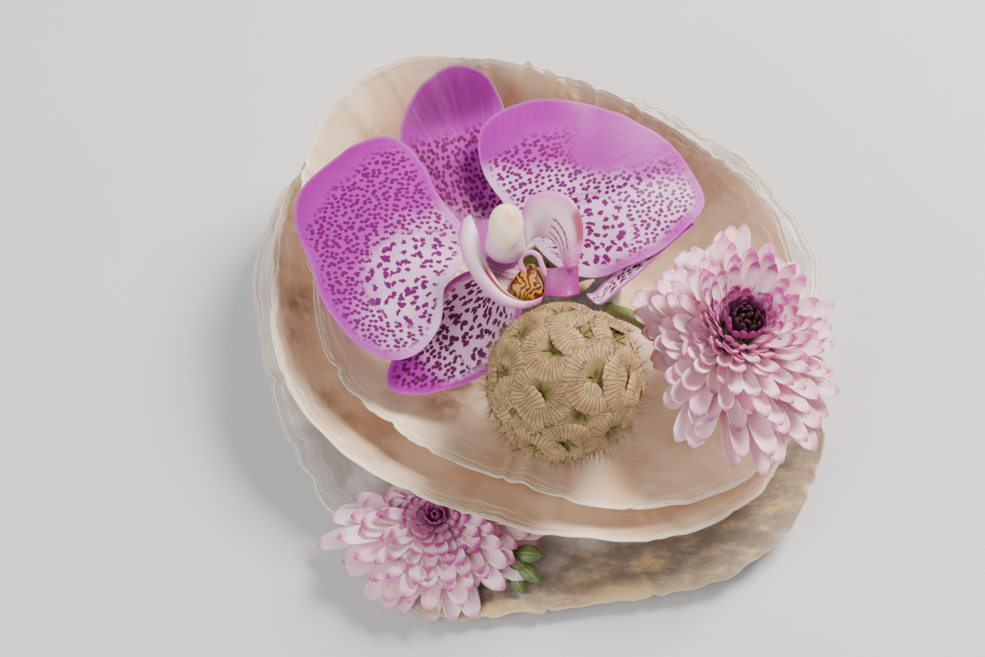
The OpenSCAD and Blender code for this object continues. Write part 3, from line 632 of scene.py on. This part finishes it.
# A dark plate put where the lip's hollow lies in shade: its crimson and stripes are painted shade.
lip("orchid_lip_cup_shade_plate",
    [(-14.0, 9.6, 46.5), (-9.4, 9.0, 43.6), (-3.8, 8.4, 42.6), (0.6, 7.6, 43), (3.6, 5.6, 44.4)],
    [(-9.6, 0.6, 45.2), (-6.6, -1.6, 43.6), (-2.9, -2.6, 42.8), (0.6, -2, 43), (3.2, 0.2, 44)],
    -0.8, 0.8, stripes_and_shade=lambda t, s: 0.6 + 0 * t, crimson_and_shade=lambda t, s: 0.65 * ease((t - 0.1) / 0.4))

curl = spline([(-2.0, 4.1, 46.6), (-3.2, 5.5, 48.2), (-2.9, 7.0, 49.6), (-0.8, 7.7, 50.3),
               (1.0, 6.8, 49.9), (1.9, 4.9, 48.6), (2.9, 3.0, 47.2)], 30)[None]
nothing = np.zeros((1, 30, 12))
skin("orchid_lip_curl", tube(curl, 0.62 + 0 * curl[..., 0], 12, side=(0, 0, 1)), lip_finish, "orchid",
     {"across": nothing, "along": nothing, "stripes_and_shade": nothing, "crimson_and_shade": nothing,
                    "gold": nothing, "violet": nothing})


def callus_colour(tree, cells):
    drift = put(tree, "TexNoise", {"Vector": place_mm(tree), "Scale": 0.35}).outputs[1]
    bent = put(tree, "VectorMath", {0: drift, 1: (7.0, 7.0, 7.0), 2: place_mm(tree)},
               operation="MULTIPLY_ADD").outputs[0]
    stripe = calc(tree, "SINE", calc(tree, "MULTIPLY", put(tree, "SeparateXYZ", {0: bent}).outputs[0], 4.0))
    stripe = calc(tree, "ADD", stripe, calc(tree, "MULTIPLY", cells, 1.2))
    return mix(tree, steps(tree, stripe, 0.5, 0.9), (0.42, 0.23, 0.01, 1), (0.09, 0.003, 0.008, 1))


callus_finish = waxy("Orchid callus", callus_colour)


def ball(at, size, tilt=0.0, sides=28, count=20, lumps=0.0):
    """Egg: r = sin(v)(1 - 0.12 cos v)(1 + lumps cos(3 a + 2)) and h = -cos v, scaled by size and
    tilted back about X."""
    v = np.linspace(0.12, np.pi - 0.12, count)[:, None]
    a = np.linspace(0, 2 * np.pi, sides, endpoint=False)
    r = np.sin(v) * (1 - 0.12 * np.cos(v)) * (1 + lumps * np.cos(3 * a + 2))
    p = np.stack([size[0] * r * np.cos(a), size[1] * r * np.sin(a), -size[2] * np.cos(v) + 0 * a], -1)
    c, s = math.cos(tilt), math.sin(tilt)
    turned = np.stack([p[..., 0], c * p[..., 1] - s * p[..., 2], s * p[..., 1] + c * p[..., 2]], -1)
    return (turned + np.asarray(at))[None]


made = skin("orchid_callus_lump", ball((-1.2, 1.9, 44.9), (4.3, 4.3, 1.9), 0.35, lumps=0.14),
            callus_finish, "orchid")
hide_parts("orchid_callus")

column_finish = waxy("Orchid column", lambda tree, cells: mix(
    tree, steps(tree, put(tree, "SeparateXYZ", {0: place_mm(tree)}).outputs[2], 46.5, 54.5),
    (0.34, 0.06, 0.29, 1), mix(tree, cells, (0.66, 0.34, 0.56, 1), (0.88, 0.64, 0.76, 1))))
path = spline([(-6.2, 13.2, 43.4), (-6.8, 9.0, 48), (-7.0, 8.2, 52.5), (-6.9, 10.4, 57),
               (-6.7, 12.6, 59.4)], 26)[None]
width = np.interp(np.linspace(0, 1, 26), [0, 0.25, 0.5, 0.75, 1], [3.0, 3.8, 4.9, 4.2, 2.0])[None]
made = skin("orchid_column_body", tube(path, width, 28, 0.72, (0, 1, 0)), column_finish, "orchid")
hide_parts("orchid_column")
cap_finish = waxy("Orchid cap", lambda tree, cells: mix(
    tree, steps(tree, put(tree, "VectorMath", {0: place_mm(tree), 1: (-5.6, 11.0, 62.0)},
                          operation="DISTANCE").outputs["Value"], 0.8, 2.8),
    (0.90, 0.44, 0.22, 1), (1.0, 0.74, 0.54, 1)))
made = skin("orchid_cap_egg", ball((-6.8, 10.0, 58.6), (4.1, 3.4, 5.6), -1.05), cap_finish, "orchid")
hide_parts("orchid_anther_cap")
skin("orchid_heart_cushion", ball((-10.0, 12.6, 43.9), (7.6, 7.2, 1.9), 0.1), column_finish, "orchid")

green, tree, shader = material("Green stem", Roughness=0.45, Subsurface_Weight=0.15, Subsurface_Scale=0.001)
streak = grain(tree, stretch(tree, place_mm(tree), (1.5, 1.5, 0.2)), 1.0, 3)
tree.links.new(mix(tree, streak, (0.14, 0.22, 0.05, 1), (0.38, 0.45, 0.17, 1)), shader.inputs["Base Color"])
bump(tree, shader, streak, 0.0003, 0.6)


def stem(name, node, body, points, radii=(1.7, 1.7)):
    path = spline(points, 40)[None]
    width = np.interp(np.linspace(0, 1, 40), np.linspace(0, 1, len(radii)), radii)[None]
    made = skin(name, tube(path, width, 16, side=(0, 1, 0.2)), green, body)
    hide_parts(node)


def unit(v):
    return np.array(v, float) / np.linalg.norm(v)


root = np.array([8, 13, 11.9])
orchid_way = unit([-0.16, 0.28, 0.95])
pod_way = unit([-0.02, -0.77, 0.64])
mum_way = unit([0.64, -0.42, 0.64])
stem("orchid_pedicel_stem", "orchid_pedicel", "orchid",
     [root + 8.6 * orchid_way, root + 15 * orchid_way, root + 21 * orchid_way, heart + [3, 4.2, -12],
      heart + [0, 3, -7.8], heart + [-1, 2, -4]], (1.65, 1.65, 1.7, 1.7, 1.9))
tan, tree, shader = material("Dry bract", Roughness=0.7)
tree.links.new(mix(tree, grain(tree, place_mm(tree), 1.5), (0.45, 0.26, 0.10, 1), (0.72, 0.52, 0.28, 1)),
               shader.inputs["Base Color"])
rings, t_mark, s_mark = strip([(9.6, 1.4, 41.4), (12.2, 1.2, 43.2), (14.6, 3.4, 44.0)],
                              [(9.4, 3.2, 41.2), (12.0, 3.8, 42.8), (14.5, 3.7, 43.9)], 0.7, 0.5, 20, 9)
skin("orchid_bract", rings, tan, "orchid")

# ---------------------------------------------------------------------------------------------
# Scabious seed pod: a ball of dry papery cups, each a pleated disc of 8 mm radius on brown
# ribs round a green heart with a dark five-armed star. Thin walls of 0.25 mm, all overlapping.
# ---------------------------------------------------------------------------------------------
paper, tree, shader = material("Pod paper", Roughness=0.72, Subsurface_Weight=0.15, Subsurface_Scale=0.001)
fan = put(tree, "SeparateXYZ", {0: way(tree, "fan")}).outputs
reach = mark(tree, "reach")
ribs, pleats = 40.0, 27
turn = calc(tree, "MULTIPLY", calc(tree, "ARCTAN2", fan[1], fan[0]), ribs)
rib = steps(tree, calc(tree, "COSINE", turn), 0.70, 0.97)
soft = grain(tree, place_mm(tree), 0.35, 4)
colour = mix(tree, steps(tree, soft, 0.3, 0.7), (0.27, 0.15, 0.055, 1), (0.44, 0.27, 0.115, 1))
# Painted highlight: each cup is lightened towards a pale tan near its rim.
colour = mix(tree, steps(tree, reach, 0.75, 1.0, 0.0, 0.40), colour, (0.56, 0.36, 0.19, 1))
ribbed = calc(tree, "MULTIPLY", rib, steps(tree, reach, 0.5, 1.0, 0.9, 0.45))
colour = mix(tree, ribbed, colour, (0.10, 0.045, 0.02, 1))
centre = calc(tree, "ADD", reach, calc(tree, "MULTIPLY", soft, 0.15))
colour = mix(tree, steps(tree, centre, 0.22, 0.60, 0.9, 0.0), colour, (0.20, 0.17, 0.025, 1))
tree.links.new(colour, shader.inputs["Base Color"])
bump(tree, shader, rib, 0.0004, 0.8)

pod_at = root + 46 * pod_way
cup_ball = 19.6                       # mm: the ball that the cups' faces lie on
rng = np.random.default_rng(17)
count = 36
k = np.arange(count)
lean = np.arccos(1 - (2 * k + 1) / count)
keep = np.degrees(lean) < 150
turn = np.radians(137.508) * k[keep] + rng.normal(0, 0.07, keep.sum())
lean = lean[keep] + rng.normal(0, 0.035, keep.sum())
pod_y = unit(np.cross(pod_way, [1, 0, 0]))
pod_x = np.cross(pod_y, pod_way)
out = (np.sin(lean) * np.cos(turn))[:, None] * pod_x + (np.sin(lean) * np.sin(turn))[:, None] * pod_y \
    + np.cos(lean)[:, None] * pod_way
tipped = out + rng.normal(0, 0.03, out.shape)
tipped /= np.linalg.norm(tipped, axis=1, keepdims=True)
cup_u = np.cross(tipped, [0.3, 0.9, 0.2])
cup_u /= np.linalg.norm(cup_u, axis=1, keepdims=True)
cup_v = np.cross(tipped, cup_u)


def cups():
    """Disc: h = sqrt(19.6^2 - r^2) - 2.6 (1 - q)^1.4 - 1.3 q^4 for q = r/R, tipped by 0.5 rank q and
    pleated by 0.07 q cos(27 a) mm; the rim R is 7.4 to 8.4 mm, times 1 + 0.016 cos(27 a) + 0.035
    ragged. The underside lies 0.24 mm lower."""
    a = np.linspace(0, 2 * np.pi, pleats * 4, endpoint=False)
    q = np.concatenate([np.linspace(0.06, 0.97, 8), [1.0, 1.0], np.linspace(0.97, 0.06, 14)])[:, None]
    under = (np.arange(len(q)) < 9)[:, None]
    ragged = np.stack([wander(a, 70 + n, 3, 40, 0.4) for n in range(len(out))])[:, None]
    wide = rng.uniform(7.4, 8.4, (len(out), 1, 1))
    rank = ((np.arange(len(out)) * 0.618) % 1.0 - 0.5)[:, None, None]
    r = wide * q * (1 + q ** 6 * (0.016 * np.cos(pleats * a) + 0.035 * ragged))
    h = np.sqrt(cup_ball ** 2 - r ** 2) - 2.6 * (1 - q) ** 1.4 - 1.3 * q ** 4 + 0.5 * rank * q \
        + 0.07 * q * np.cos(pleats * a) + 0.15 * q ** 3 * ragged - 0.24 * under
    c, s = np.cos(a), np.sin(a)
    rings = pod_at + h[..., None] * out[:, None, None] + (r * c)[..., None] * cup_u[:, None, None] \
        + (r * s)[..., None] * cup_v[:, None, None]
    fan_at = np.stack([c + 0 * r, s + 0 * r, 0 * r], -1)
    return rings, fan_at, q + 0 * r


rings, fan_at, q = cups()
made = skin("pod_cups_paper", rings, paper, "seed_pod", {"reach": q}, {"fan": fan_at})
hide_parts("pod_cups")

bristle, tree, shader = material("Pod bristle", Roughness=0.6)
tree.links.new(mix(tree, grain(tree, place_mm(tree), 2.0), (0.06, 0.028, 0.012, 1), (0.22, 0.12, 0.055, 1)),
               shader.inputs["Base Color"])
arm = np.tile(np.arange(5), len(out)) * 2 * np.pi / 5 + np.repeat(rng.uniform(0, 6, len(out)), 5)
o5, u5, v5 = (np.repeat(w, 5, axis=0)[:, None] for w in (out, cup_u, cup_v))
s = np.linspace(0, 1, 7)[:, None]
spread = (np.cos(arm)[:, None, None] * u5 + np.sin(arm)[:, None, None] * v5)
path = pod_at + o5 * (16.8 + 1.6 * s ** 0.7) + spread * (0.25 + 2.4 * s)
thick = (0.24 - 0.15 * s[..., 0]) + 0 * arm[:, None]
made = skin("pod_bristle_stars", tube(path, thick, 6, side=(0.37, 0.21, 0.9)), bristle, "seed_pod")
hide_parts("pod_bristles")

hairs = 1800
pick = rng.integers(0, len(out), hairs)
spin = np.round(rng.uniform(0, pleats, hairs)) * 2 * np.pi / pleats
side = np.cos(spin)[:, None] * cup_u[pick] + np.sin(spin)[:, None] * cup_v[pick]
s = np.linspace(0, 1, 6)[:, None]
length = rng.uniform(1.2, 4.2, hairs)[:, None, None]
fly = side * 0.75 + out[pick] * 0.6 + rng.normal(0, 0.22, (hairs, 3))
path = pod_at + (out[pick] * 16.9 + side * 7.3)[:, None] + fly[:, None] * length * s
thick = (0.06 - 0.035 * s[..., 0]) + 0 * length[..., 0]
skin("pod_hairs", tube(path, thick, 4, side=(0.11, 0.31, 0.9)), bristle, "seed_pod")

heartwood, tree, shader = material("Pod core", Roughness=0.7)
tree.links.new(mix(tree, grain(tree, place_mm(tree), 0.8, 4), (0.16, 0.15, 0.05, 1), (0.36, 0.33, 0.13, 1)),
               shader.inputs["Base Color"])
made = skin("pod_core_ball", ball(pod_at, (15.4, 15.4, 15.4), 0.0, 40, 28), heartwood, "seed_pod")
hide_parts("pod_core")
stem("pod_stem_rod", "pod_stem", "seed_pod",
     [root + 8.6 * pod_way, root + 18 * pod_way, pod_at - 15.1 * pod_way], (1.65, 1.7, 1.75))

# ---------------------------------------------------------------------------------------------
# Two chrysanthemums: rows of trough-shaped florets, 0.5 mm thick with hooded tips, white and pink
# outside and magenta towards the dark eye, on a green calyx. Each row is one closed-tube mesh.
# ---------------------------------------------------------------------------------------------
def floret_finish(name, pale, flush, tip_colour, dark):
    made, tree, shader = material(name, Roughness=0.5, Subsurface_Weight=0.25, Subsurface_Scale=0.0012,
                                  Sheen_Weight=0.08, Specular_IOR_Level=0.4)
    s, row, shade = mark(tree, "tip"), mark(tree, "row"), mark(tree, "shade")
    fleck = grain(tree, place_mm(tree), 1.1, 3)
    base = mix(tree, calc(tree, "MULTIPLY", shade, 0.8), pale, flush)
    base = mix(tree, steps(tree, row, 0.35, 0.8), base, tip_colour)
    end = calc(tree, "ADD", s, calc(tree, "MULTIPLY", calc(tree, "SUBTRACT", fleck, 0.5), 0.12))
    end = calc(tree, "ADD", end, calc(tree, "MULTIPLY", calc(tree, "SUBTRACT", row, 0.3), 0.35))
    base = mix(tree, steps(tree, end, 0.80, 0.96, 0.0, 0.95), base, tip_colour)
    base = mix(tree, steps(tree, s, 0.0, 0.3, 0.6, 0.0), base, dark)
    base = mix(tree, steps(tree, row, 0.60, 0.84, 0.0, 0.97), base, dark)
    tree.links.new(base, shader.inputs["Base Color"])
    lines = calc(tree, "SINE", calc(tree, "MULTIPLY", mark(tree, "lane"), 16.0))
    bump(tree, shader, calc(tree, "ADD", lines, fleck), 0.00005, 0.5)
    return made


def shelter(p):
    """Height of the middle shell's underside over p, less 0.85 mm; it rises steeply past the rim."""
    x, y = p[..., 0] - stack_centre[0], p[..., 1] - stack_centre[1]
    a = np.arctan2(y, x) % (2 * np.pi)
    rho = np.hypot(x, y) / ring_curve(middle_radii, a)
    rim = ring_curve(middle_rims, a)
    rise = np.clip(rho - dish_shape[0], 0, 2) / (1 - dish_shape[0])
    face = middle_floor + (rim - middle_floor) * rise ** dish_shape[1]
    return face - shell_wall - 0.85 + 60 * np.maximum(0, rho - 1.01)


def summed(step):
    """Running sum along each floret: 0 at the foot, the mean step at the tip."""
    middle = (step[:, 1:] + step[:, :-1]) / 2
    return np.concatenate([np.zeros((len(step), 1)), np.cumsum(middle, 1)], 1) / middle.shape[1]


def florets(name, body, node, finish, at, face, radii, rows, seed, eye=(0.0, 0.0), under=None):
    """Each floret bends in the plane of its spoke: slope a0 + (a1 - a0) s plus a hood h s^6. Width
    w (0.4 + 0.6 ease(1.9 s)), times sqrt(1 - ((s - 0.7)/0.305)^2.4) past 0.7; the trough's sides
    stand (0.30 - 0.12 s) w cos^2 a high. A row holds: share of the radii, start radius and height,
    a0, a1, h, number, width, length (0 for out to the radii) and place from rim 0 to eye 1."""
    rng = np.random.default_rng(seed)
    uz = unit(face)
    uy = unit(np.cross(uz, [1, 0, 0]))
    ux = np.cross(uy, uz)
    s = np.linspace(0, 1, 12)
    a = np.linspace(0, 2 * np.pi, 12, endpoint=False)
    parts = []
    for share, start, low, a0, a1, hood, many, wide, length, row in rows:
        spoke = (np.arange(many) + rng.uniform(-0.28, 0.28, many) + rng.uniform(0, 1)) * 2 * np.pi / many
        slope = np.radians(a0 + (a1 - a0) * s + hood * s ** 6) + rng.normal(0, 0.07, (many, 1)) * (0.3 + s)
        rim = share * ring_curve(radii, spoke) * (1 + rng.normal(0, 0.035, many))
        run = summed(np.cos(slope))
        lift = summed(np.sin(slope))
        size = length * rim / max(radii) if length else np.maximum(rim - start, 2.5) / run[:, -1]
        size = size * rng.uniform(0.94, 1.06, many)
        r = start + size[:, None] * run
        z = low + size[:, None] * lift + rng.normal(0, 0.35, (many, 1)) * s
        sway = rng.normal(0, 0.05, (many, 1)) * s
        ang = spoke[:, None] + sway
        spot = np.stack([r * np.cos(ang) + eye[0] * row, r * np.sin(ang) + eye[1] * row, z], -1)
        out_way = np.stack([np.cos(ang), np.sin(ang), 0 * ang], -1)
        side = np.stack([-np.sin(ang), np.cos(ang), 0 * ang], -1)
        up = -np.sin(slope)[..., None] * out_way + np.cos(slope)[..., None] * np.array([0, 0, 1.0])
        roll = rng.normal(0, 0.14, (many, 1, 1)) + 0 * slope[..., None]
        side, up = side * np.cos(roll) + up * np.sin(roll), up * np.cos(roll) - side * np.sin(roll)
        blunt = np.sqrt(np.clip(1 - (np.maximum(s - 0.7, 0) / 0.305) ** 2.4, 0, 1))
        shape = (0.4 + 0.6 * ease(1.9 * s)) * blunt
        w = wide * rng.uniform(0.9, 1.1, (many, 1)) * shape
        lateral = np.cos(a) * w[..., None] / 2
        wall = np.sin(a) * 0.26 * np.minimum(1, w[..., None] / 1.2)
        trough = (0.30 - 0.12 * s[:, None]) * w[..., None] * np.cos(a) ** 2
        ring = (spot[:, :, None] + lateral[..., None] * side[:, :, None]
                + (wall + trough)[..., None] * up[:, :, None])
        full = np.ones((many, len(s), len(a)))
        own_shade = full * rng.uniform(0, 1, (many, 1, 1))
        parts.append((ring, full * s[:, None], full * row, own_shade, full * np.cos(a)))
    ring, tip, row, shade, lane = (np.concatenate([p[i] for p in parts]) for i in range(5))
    world = np.asarray(at, float) + ring[..., 0:1] * ux + ring[..., 1:2] * uy + ring[..., 2:3] * uz
    if under is not None:
        crown = world.max(axis=2)
        world[..., 2] += np.minimum(0, under(world.mean(axis=2)) - crown[..., 2])[..., None]
    made = skin(name, world, finish, body, {"tip": tip, "row": row, "shade": shade, "lane": lane})
    if node:
        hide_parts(node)
    return made


mum_finish = floret_finish("Chrysanthemum floret", (0.97, 0.70, 0.73, 1), (0.88, 0.46, 0.57, 1),
                           (0.42, 0.02, 0.25, 1), (0.03, 0.0005, 0.006, 1))
mum_at, mum_face = (46, -11, 35.5), (0.2, 0.02, 0.98)
mum_radii = [27.5, 29, 31, 31, 26.4, 26, 20, 18.8, 26, 31.5, 31.5, 29.5]
florets("right_mum_outer_florets", "right_mum", "right_mum_outer_petals", mum_finish,
        mum_at, mum_face, mum_radii,
        [(1.0, 8, -1.2, 12, -10, 10, 26, 5.4, 0, 0.0), (0.95, 8, 0.4, 18, -4, 14, 25, 5.2, 0, 0.05),
         (0.86, 7.5, 1.8, 24, 6, 16, 25, 5.0, 0, 0.1)], 1)
florets("right_mum_middle_florets", "right_mum", "right_mum_middle_petals", mum_finish,
        mum_at, mum_face, mum_radii,
        [(0.75, 6, 3.0, 34, 16, 20, 25, 4.6, 0, 0.15), (0.64, 5.4, 4.0, 42, 26, 26, 24, 4.2, 0, 0.25),
         (0.53, 4.8, 4.8, 50, 34, 32, 22, 3.8, 0, 0.33), (0.43, 4.4, 5.4, 56, 42, 36, 20, 3.4, 0, 0.42)],
        2, (3.0, 4.6))
florets("right_mum_inner_florets", "right_mum", "right_mum_inner_petals", mum_finish,
        mum_at, mum_face, [13.5] * 12,
        [(1, 4.4, 5.6, 54, 44, 40, 22, 3.0, 9.6, 0.5), (1, 4.0, 6.0, 60, 56, 44, 20, 2.6, 8.6, 0.6),
         (1, 3.3, 6.4, 68, 70, 48, 17, 2.2, 7.4, 0.72), (1, 2.5, 6.8, 74, 86, 50, 13, 1.9, 6.4, 0.84)],
        3, (2.6, 3.8))
florets("right_mum_eye_florets", "right_mum", "right_mum_eye", mum_finish,
        mum_at, mum_face, [5] * 12,
        [(1, 1.9, 7.2, 78, 100, 40, 10, 1.8, 5.4, 0.92), (1, 0.9, 7.2, 84, 110, 30, 6, 1.5, 4.8, 1.0)],
        4, (2.6, 3.8))

front_at, front_face = (-23.5, -44.5, 9.2), (-0.04, -0.16, 0.98)
front_radii = [25, 14, 6, 5, 6, 14, 27, 27, 26, 24.5, 24.5, 25]
florets("front_mum_outer_florets", "shell_stand", "front_mum_outer_petals", mum_finish,
        front_at, front_face, front_radii,
        [(1.0, 4, -1.0, 10, -10, 10, 24, 5.6, 0, 0.0), (0.92, 4, 0.1, 15, -4, 14, 24, 5.2, 0, 0.06),
         (0.82, 3.8, 0.9, 20, 4, 16, 22, 4.8, 0, 0.14)], 5, under=shelter)
florets("front_mum_middle_florets", "shell_stand", "front_mum_middle_petals", mum_finish,
        front_at, front_face, front_radii,
        [(0.70, 3.6, 1.4, 24, 12, 20, 22, 4.3, 0, 0.22), (0.58, 3.4, 1.9, 30, 18, 26, 22, 3.8, 0, 0.34),
         (0.46, 3.0, 2.3, 36, 24, 30, 20, 3.3, 0, 0.42)], 6, under=shelter)
florets("front_mum_inner_florets", "shell_stand", "front_mum_inner_petals", mum_finish,
        front_at, front_face, [11, 9, 6, 5.5, 6, 9, 12, 12, 12, 12, 12, 12],
        [(1, 2.8, 2.6, 42, 36, 36, 20, 2.8, 7.4, 0.52), (1, 2.2, 2.9, 52, 52, 40, 17, 2.3, 6.2, 0.58)],
        7, under=shelter)
florets("front_mum_eye_florets", "shell_stand", "front_mum_eye", mum_finish,
        front_at, front_face, [5] * 12,
        [(1, 1.5, 3.0, 66, 84, 40, 11, 1.9, 4.6, 0.64), (1, 0.8, 3.2, 78, 100, 30, 6, 1.5, 4.0, 0.68)],
        8, under=shelter)

bract_green, tree, shader = material("Calyx green", Roughness=0.55, Subsurface_Weight=0.1,
                                     Subsurface_Scale=0.001)
tree.links.new(mix(tree, grain(tree, place_mm(tree), 0.9, 3), (0.16, 0.24, 0.07, 1), (0.34, 0.42, 0.18, 1)),
               shader.inputs["Base Color"])
bump(tree, shader, calc(tree, "SINE", calc(tree, "MULTIPLY", mark(tree, "lane"), 12.0)), 0.0002, 0.5)
florets("right_mum_calyx_bracts", "right_mum", "right_mum_calyx", bract_green,
        mum_at, mum_face, [11] * 12,
        [(1, 1.2, -5.6, 40, 12, 0, 16, 3.4, 10, 0), (1, 1.0, -6.0, 56, 24, 0, 14, 3.0, 7.5, 0),
         (1, 0.8, -6.4, 50, 60, 0, 10, 2.6, 4.5, 0)], 9)
florets("front_mum_calyx_bracts", "shell_stand", "front_mum_calyx", bract_green,
        front_at, front_face, [7] * 12,
        [(1, 1.6, -3.0, 28, 8, 0, 14, 3.0, 5.0, 0), (1, 1.0, -3.4, 36, 16, 0, 12, 2.8, 4.0, 0)], 10)
neck = np.array(mum_at) - 8.5 * unit(mum_face)
stem("right_mum_stalk", "right_mum_stem", "right_mum",
     [root + 8.6 * mum_way, root + 14 * mum_way, root + 19 * mum_way, (26.6, 0.4, 27.4), (36.5, -8.0, 26.4),
      (42.4, -11.0, 26.6), neck + 3.6 * unit(mum_face)], (1.65, 1.7, 1.7, 1.75, 1.9))

# ---------------------------------------------------------------------------------------------
# Filler greens: a sprig of small dark leaves by the front flower and a tuft of moss fronds that
# hides the frog. Leaves are folded along the midrib, 0.45 mm thick; fronds are 0.5 mm threads.
# ---------------------------------------------------------------------------------------------
leaf_finish, tree, shader = material("Leaf", Roughness=0.4, Subsurface_Weight=0.1, Subsurface_Scale=0.001)
off_rib = calc(tree, "ABSOLUTE", calc(tree, "SUBTRACT", mark(tree, "across"), 0.5))
rib = steps(tree, off_rib, 0.0, 0.09, 1.0, 0.0)
leaf_colour = mix(tree, grain(tree, place_mm(tree), 1.0, 3), (0.05, 0.10, 0.02, 1), (0.16, 0.22, 0.05, 1))
tree.links.new(mix(tree, calc(tree, "MULTIPLY", rib, 0.6), leaf_colour, (0.30, 0.36, 0.12, 1)),
               shader.inputs["Base Color"])
bump(tree, shader, rib, 0.0003, 0.6)
leaf_parts = []
for at, tip_at, wide in [((-6.5, -53.0, 7.0), (2.4, -54.0, 9.4), 4.4),
                         ((-5.5, -54.5, 6.6), (1.6, -60.0, 6.6), 4.0),
                         ((-6.5, -56.0, 6.2), (-2.6, -62.4, 5.2), 3.4),
                         ((-8, -53, 6.4), (-1.5, -57.2, 7.8), 3.6)]:
    at, tip_at = np.array(at), np.array(tip_at)
    across_way = unit(np.cross(tip_at - at, [0, -0.3, 1]))
    mid = [at + (tip_at - at) * f + np.array([0, 0, 1.2 * math.sin(3.14 * f)])
           for f in (0, 0.3, 0.6, 0.85, 1)]
    half = [0.3, 0.85, 1.0, 0.6, 0.05]
    leaf_parts.append(strip([m - across_way * wide / 2 * h for m, h in zip(mid, half)],
                            [m + across_way * wide / 2 * h for m, h in zip(mid, half)], -0.5, 0.45, 26, 11))
rings, t_mark, s_mark = (np.concatenate([p[i] for p in leaf_parts]) for i in range(3))
made = skin("front_leaf_blades", rings, leaf_finish, "shell_stand", {"across": t_mark})
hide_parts("front_leaf_sprig")

moss_finish, tree, shader = material("Moss", Roughness=0.7)
tree.links.new(mix(tree, grain(tree, place_mm(tree), 0.7, 3), (0.04, 0.07, 0.015, 1), (0.16, 0.22, 0.06, 1)),
               shader.inputs["Base Color"])
rng = np.random.default_rng(5)
many = 700
lump = rng.integers(0, 3, many)
centre = np.array([[-15.5, -6, 17.0], [-12, 0, 17.0], [-17, 2.5, 17.0]])[lump]
size = np.array([4.2, 3.8, 3.6])[lump][:, None]
way_out = rng.normal(size=(many, 3))
way_out /= np.linalg.norm(way_out, axis=1, keepdims=True)
way_out[:, 2] = np.abs(way_out[:, 2]) * 0.9 + 0.05 * way_out[:, 2]
s = np.linspace(0, 1, 5)[:, None]
droop = np.array([0, 0, -0.9]) * s[None] ** 2 * rng.uniform(0.2, 1, (many, 1, 1))
reach = way_out * rng.uniform(1.2, 2.4, (many, 1))
path = (centre + way_out * size * 0.55)[:, None] + reach[:, None] * s + droop
thick = 0.26 * np.sqrt(1.04 - s[..., 0]) + 0 * path[..., 0]
made = skin("moss_fronds", tube(path, thick, 4, side=(0.2, 0.3, 0.9)), moss_finish, "shell_stand")
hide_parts("moss_tuft")

# ---------------------------------------------------------------------------------------------
# Floor, soft studio light and the camera.
# ---------------------------------------------------------------------------------------------
floor_finish, tree, shader = material("Pale floor", Roughness=0.85)
tree.links.new(mix(tree, grain(tree, place_mm(tree), 0.02, 3), (0.62, 0.61, 0.60, 1), (0.66, 0.65, 0.64, 1)),
               shader.inputs["Base Color"])
bpy.ops.mesh.primitive_plane_add(size=6, location=(0, 0, 0))
ground = bpy.context.object
ground.data.materials.append(floor_finish)


def lamp(name, at, size, power, colour):
    data = bpy.data.lights.new(name, "AREA")
    data.size, data.energy, data.color = size, power, colour
    made = bpy.data.objects.new(name, data)
    made.location = at
    aim = np.array([0.0, 0.0, 0.02]) - np.array(at)
    made.rotation_euler = (math.atan2(math.hypot(aim[0], aim[1]), -aim[2]), 0,
                           math.atan2(aim[1], aim[0]) - math.pi / 2)
    bpy.context.scene.collection.objects.link(made)


lamp("Key", (0.42, 0.38, 0.62), 0.32, 17.0, (1.0, 0.95, 0.90))
lamp("Fill", (-0.6, -0.5, 0.6), 0.8, 9.0, (0.95, 0.97, 1.0))
world = bpy.data.worlds.new("Studio")
world.use_nodes = True
world.node_tree.nodes["Background"].inputs["Color"].default_value = (0.9, 0.92, 0.95, 1)
world.node_tree.nodes["Background"].inputs["Strength"].default_value = 0.35
bpy.context.scene.world = world
camera = bpy.data.objects.new("Camera", bpy.data.cameras.new("Camera"))
camera.data.lens, camera.data.sensor_width = 91.0, 36.0
camera.location = (-0.010, -0.2696, 0.5773)
camera.rotation_euler = (math.radians(26), 0, 0)
bpy.context.scene.collection.objects.link(camera)
bpy.context.scene.camera = camera
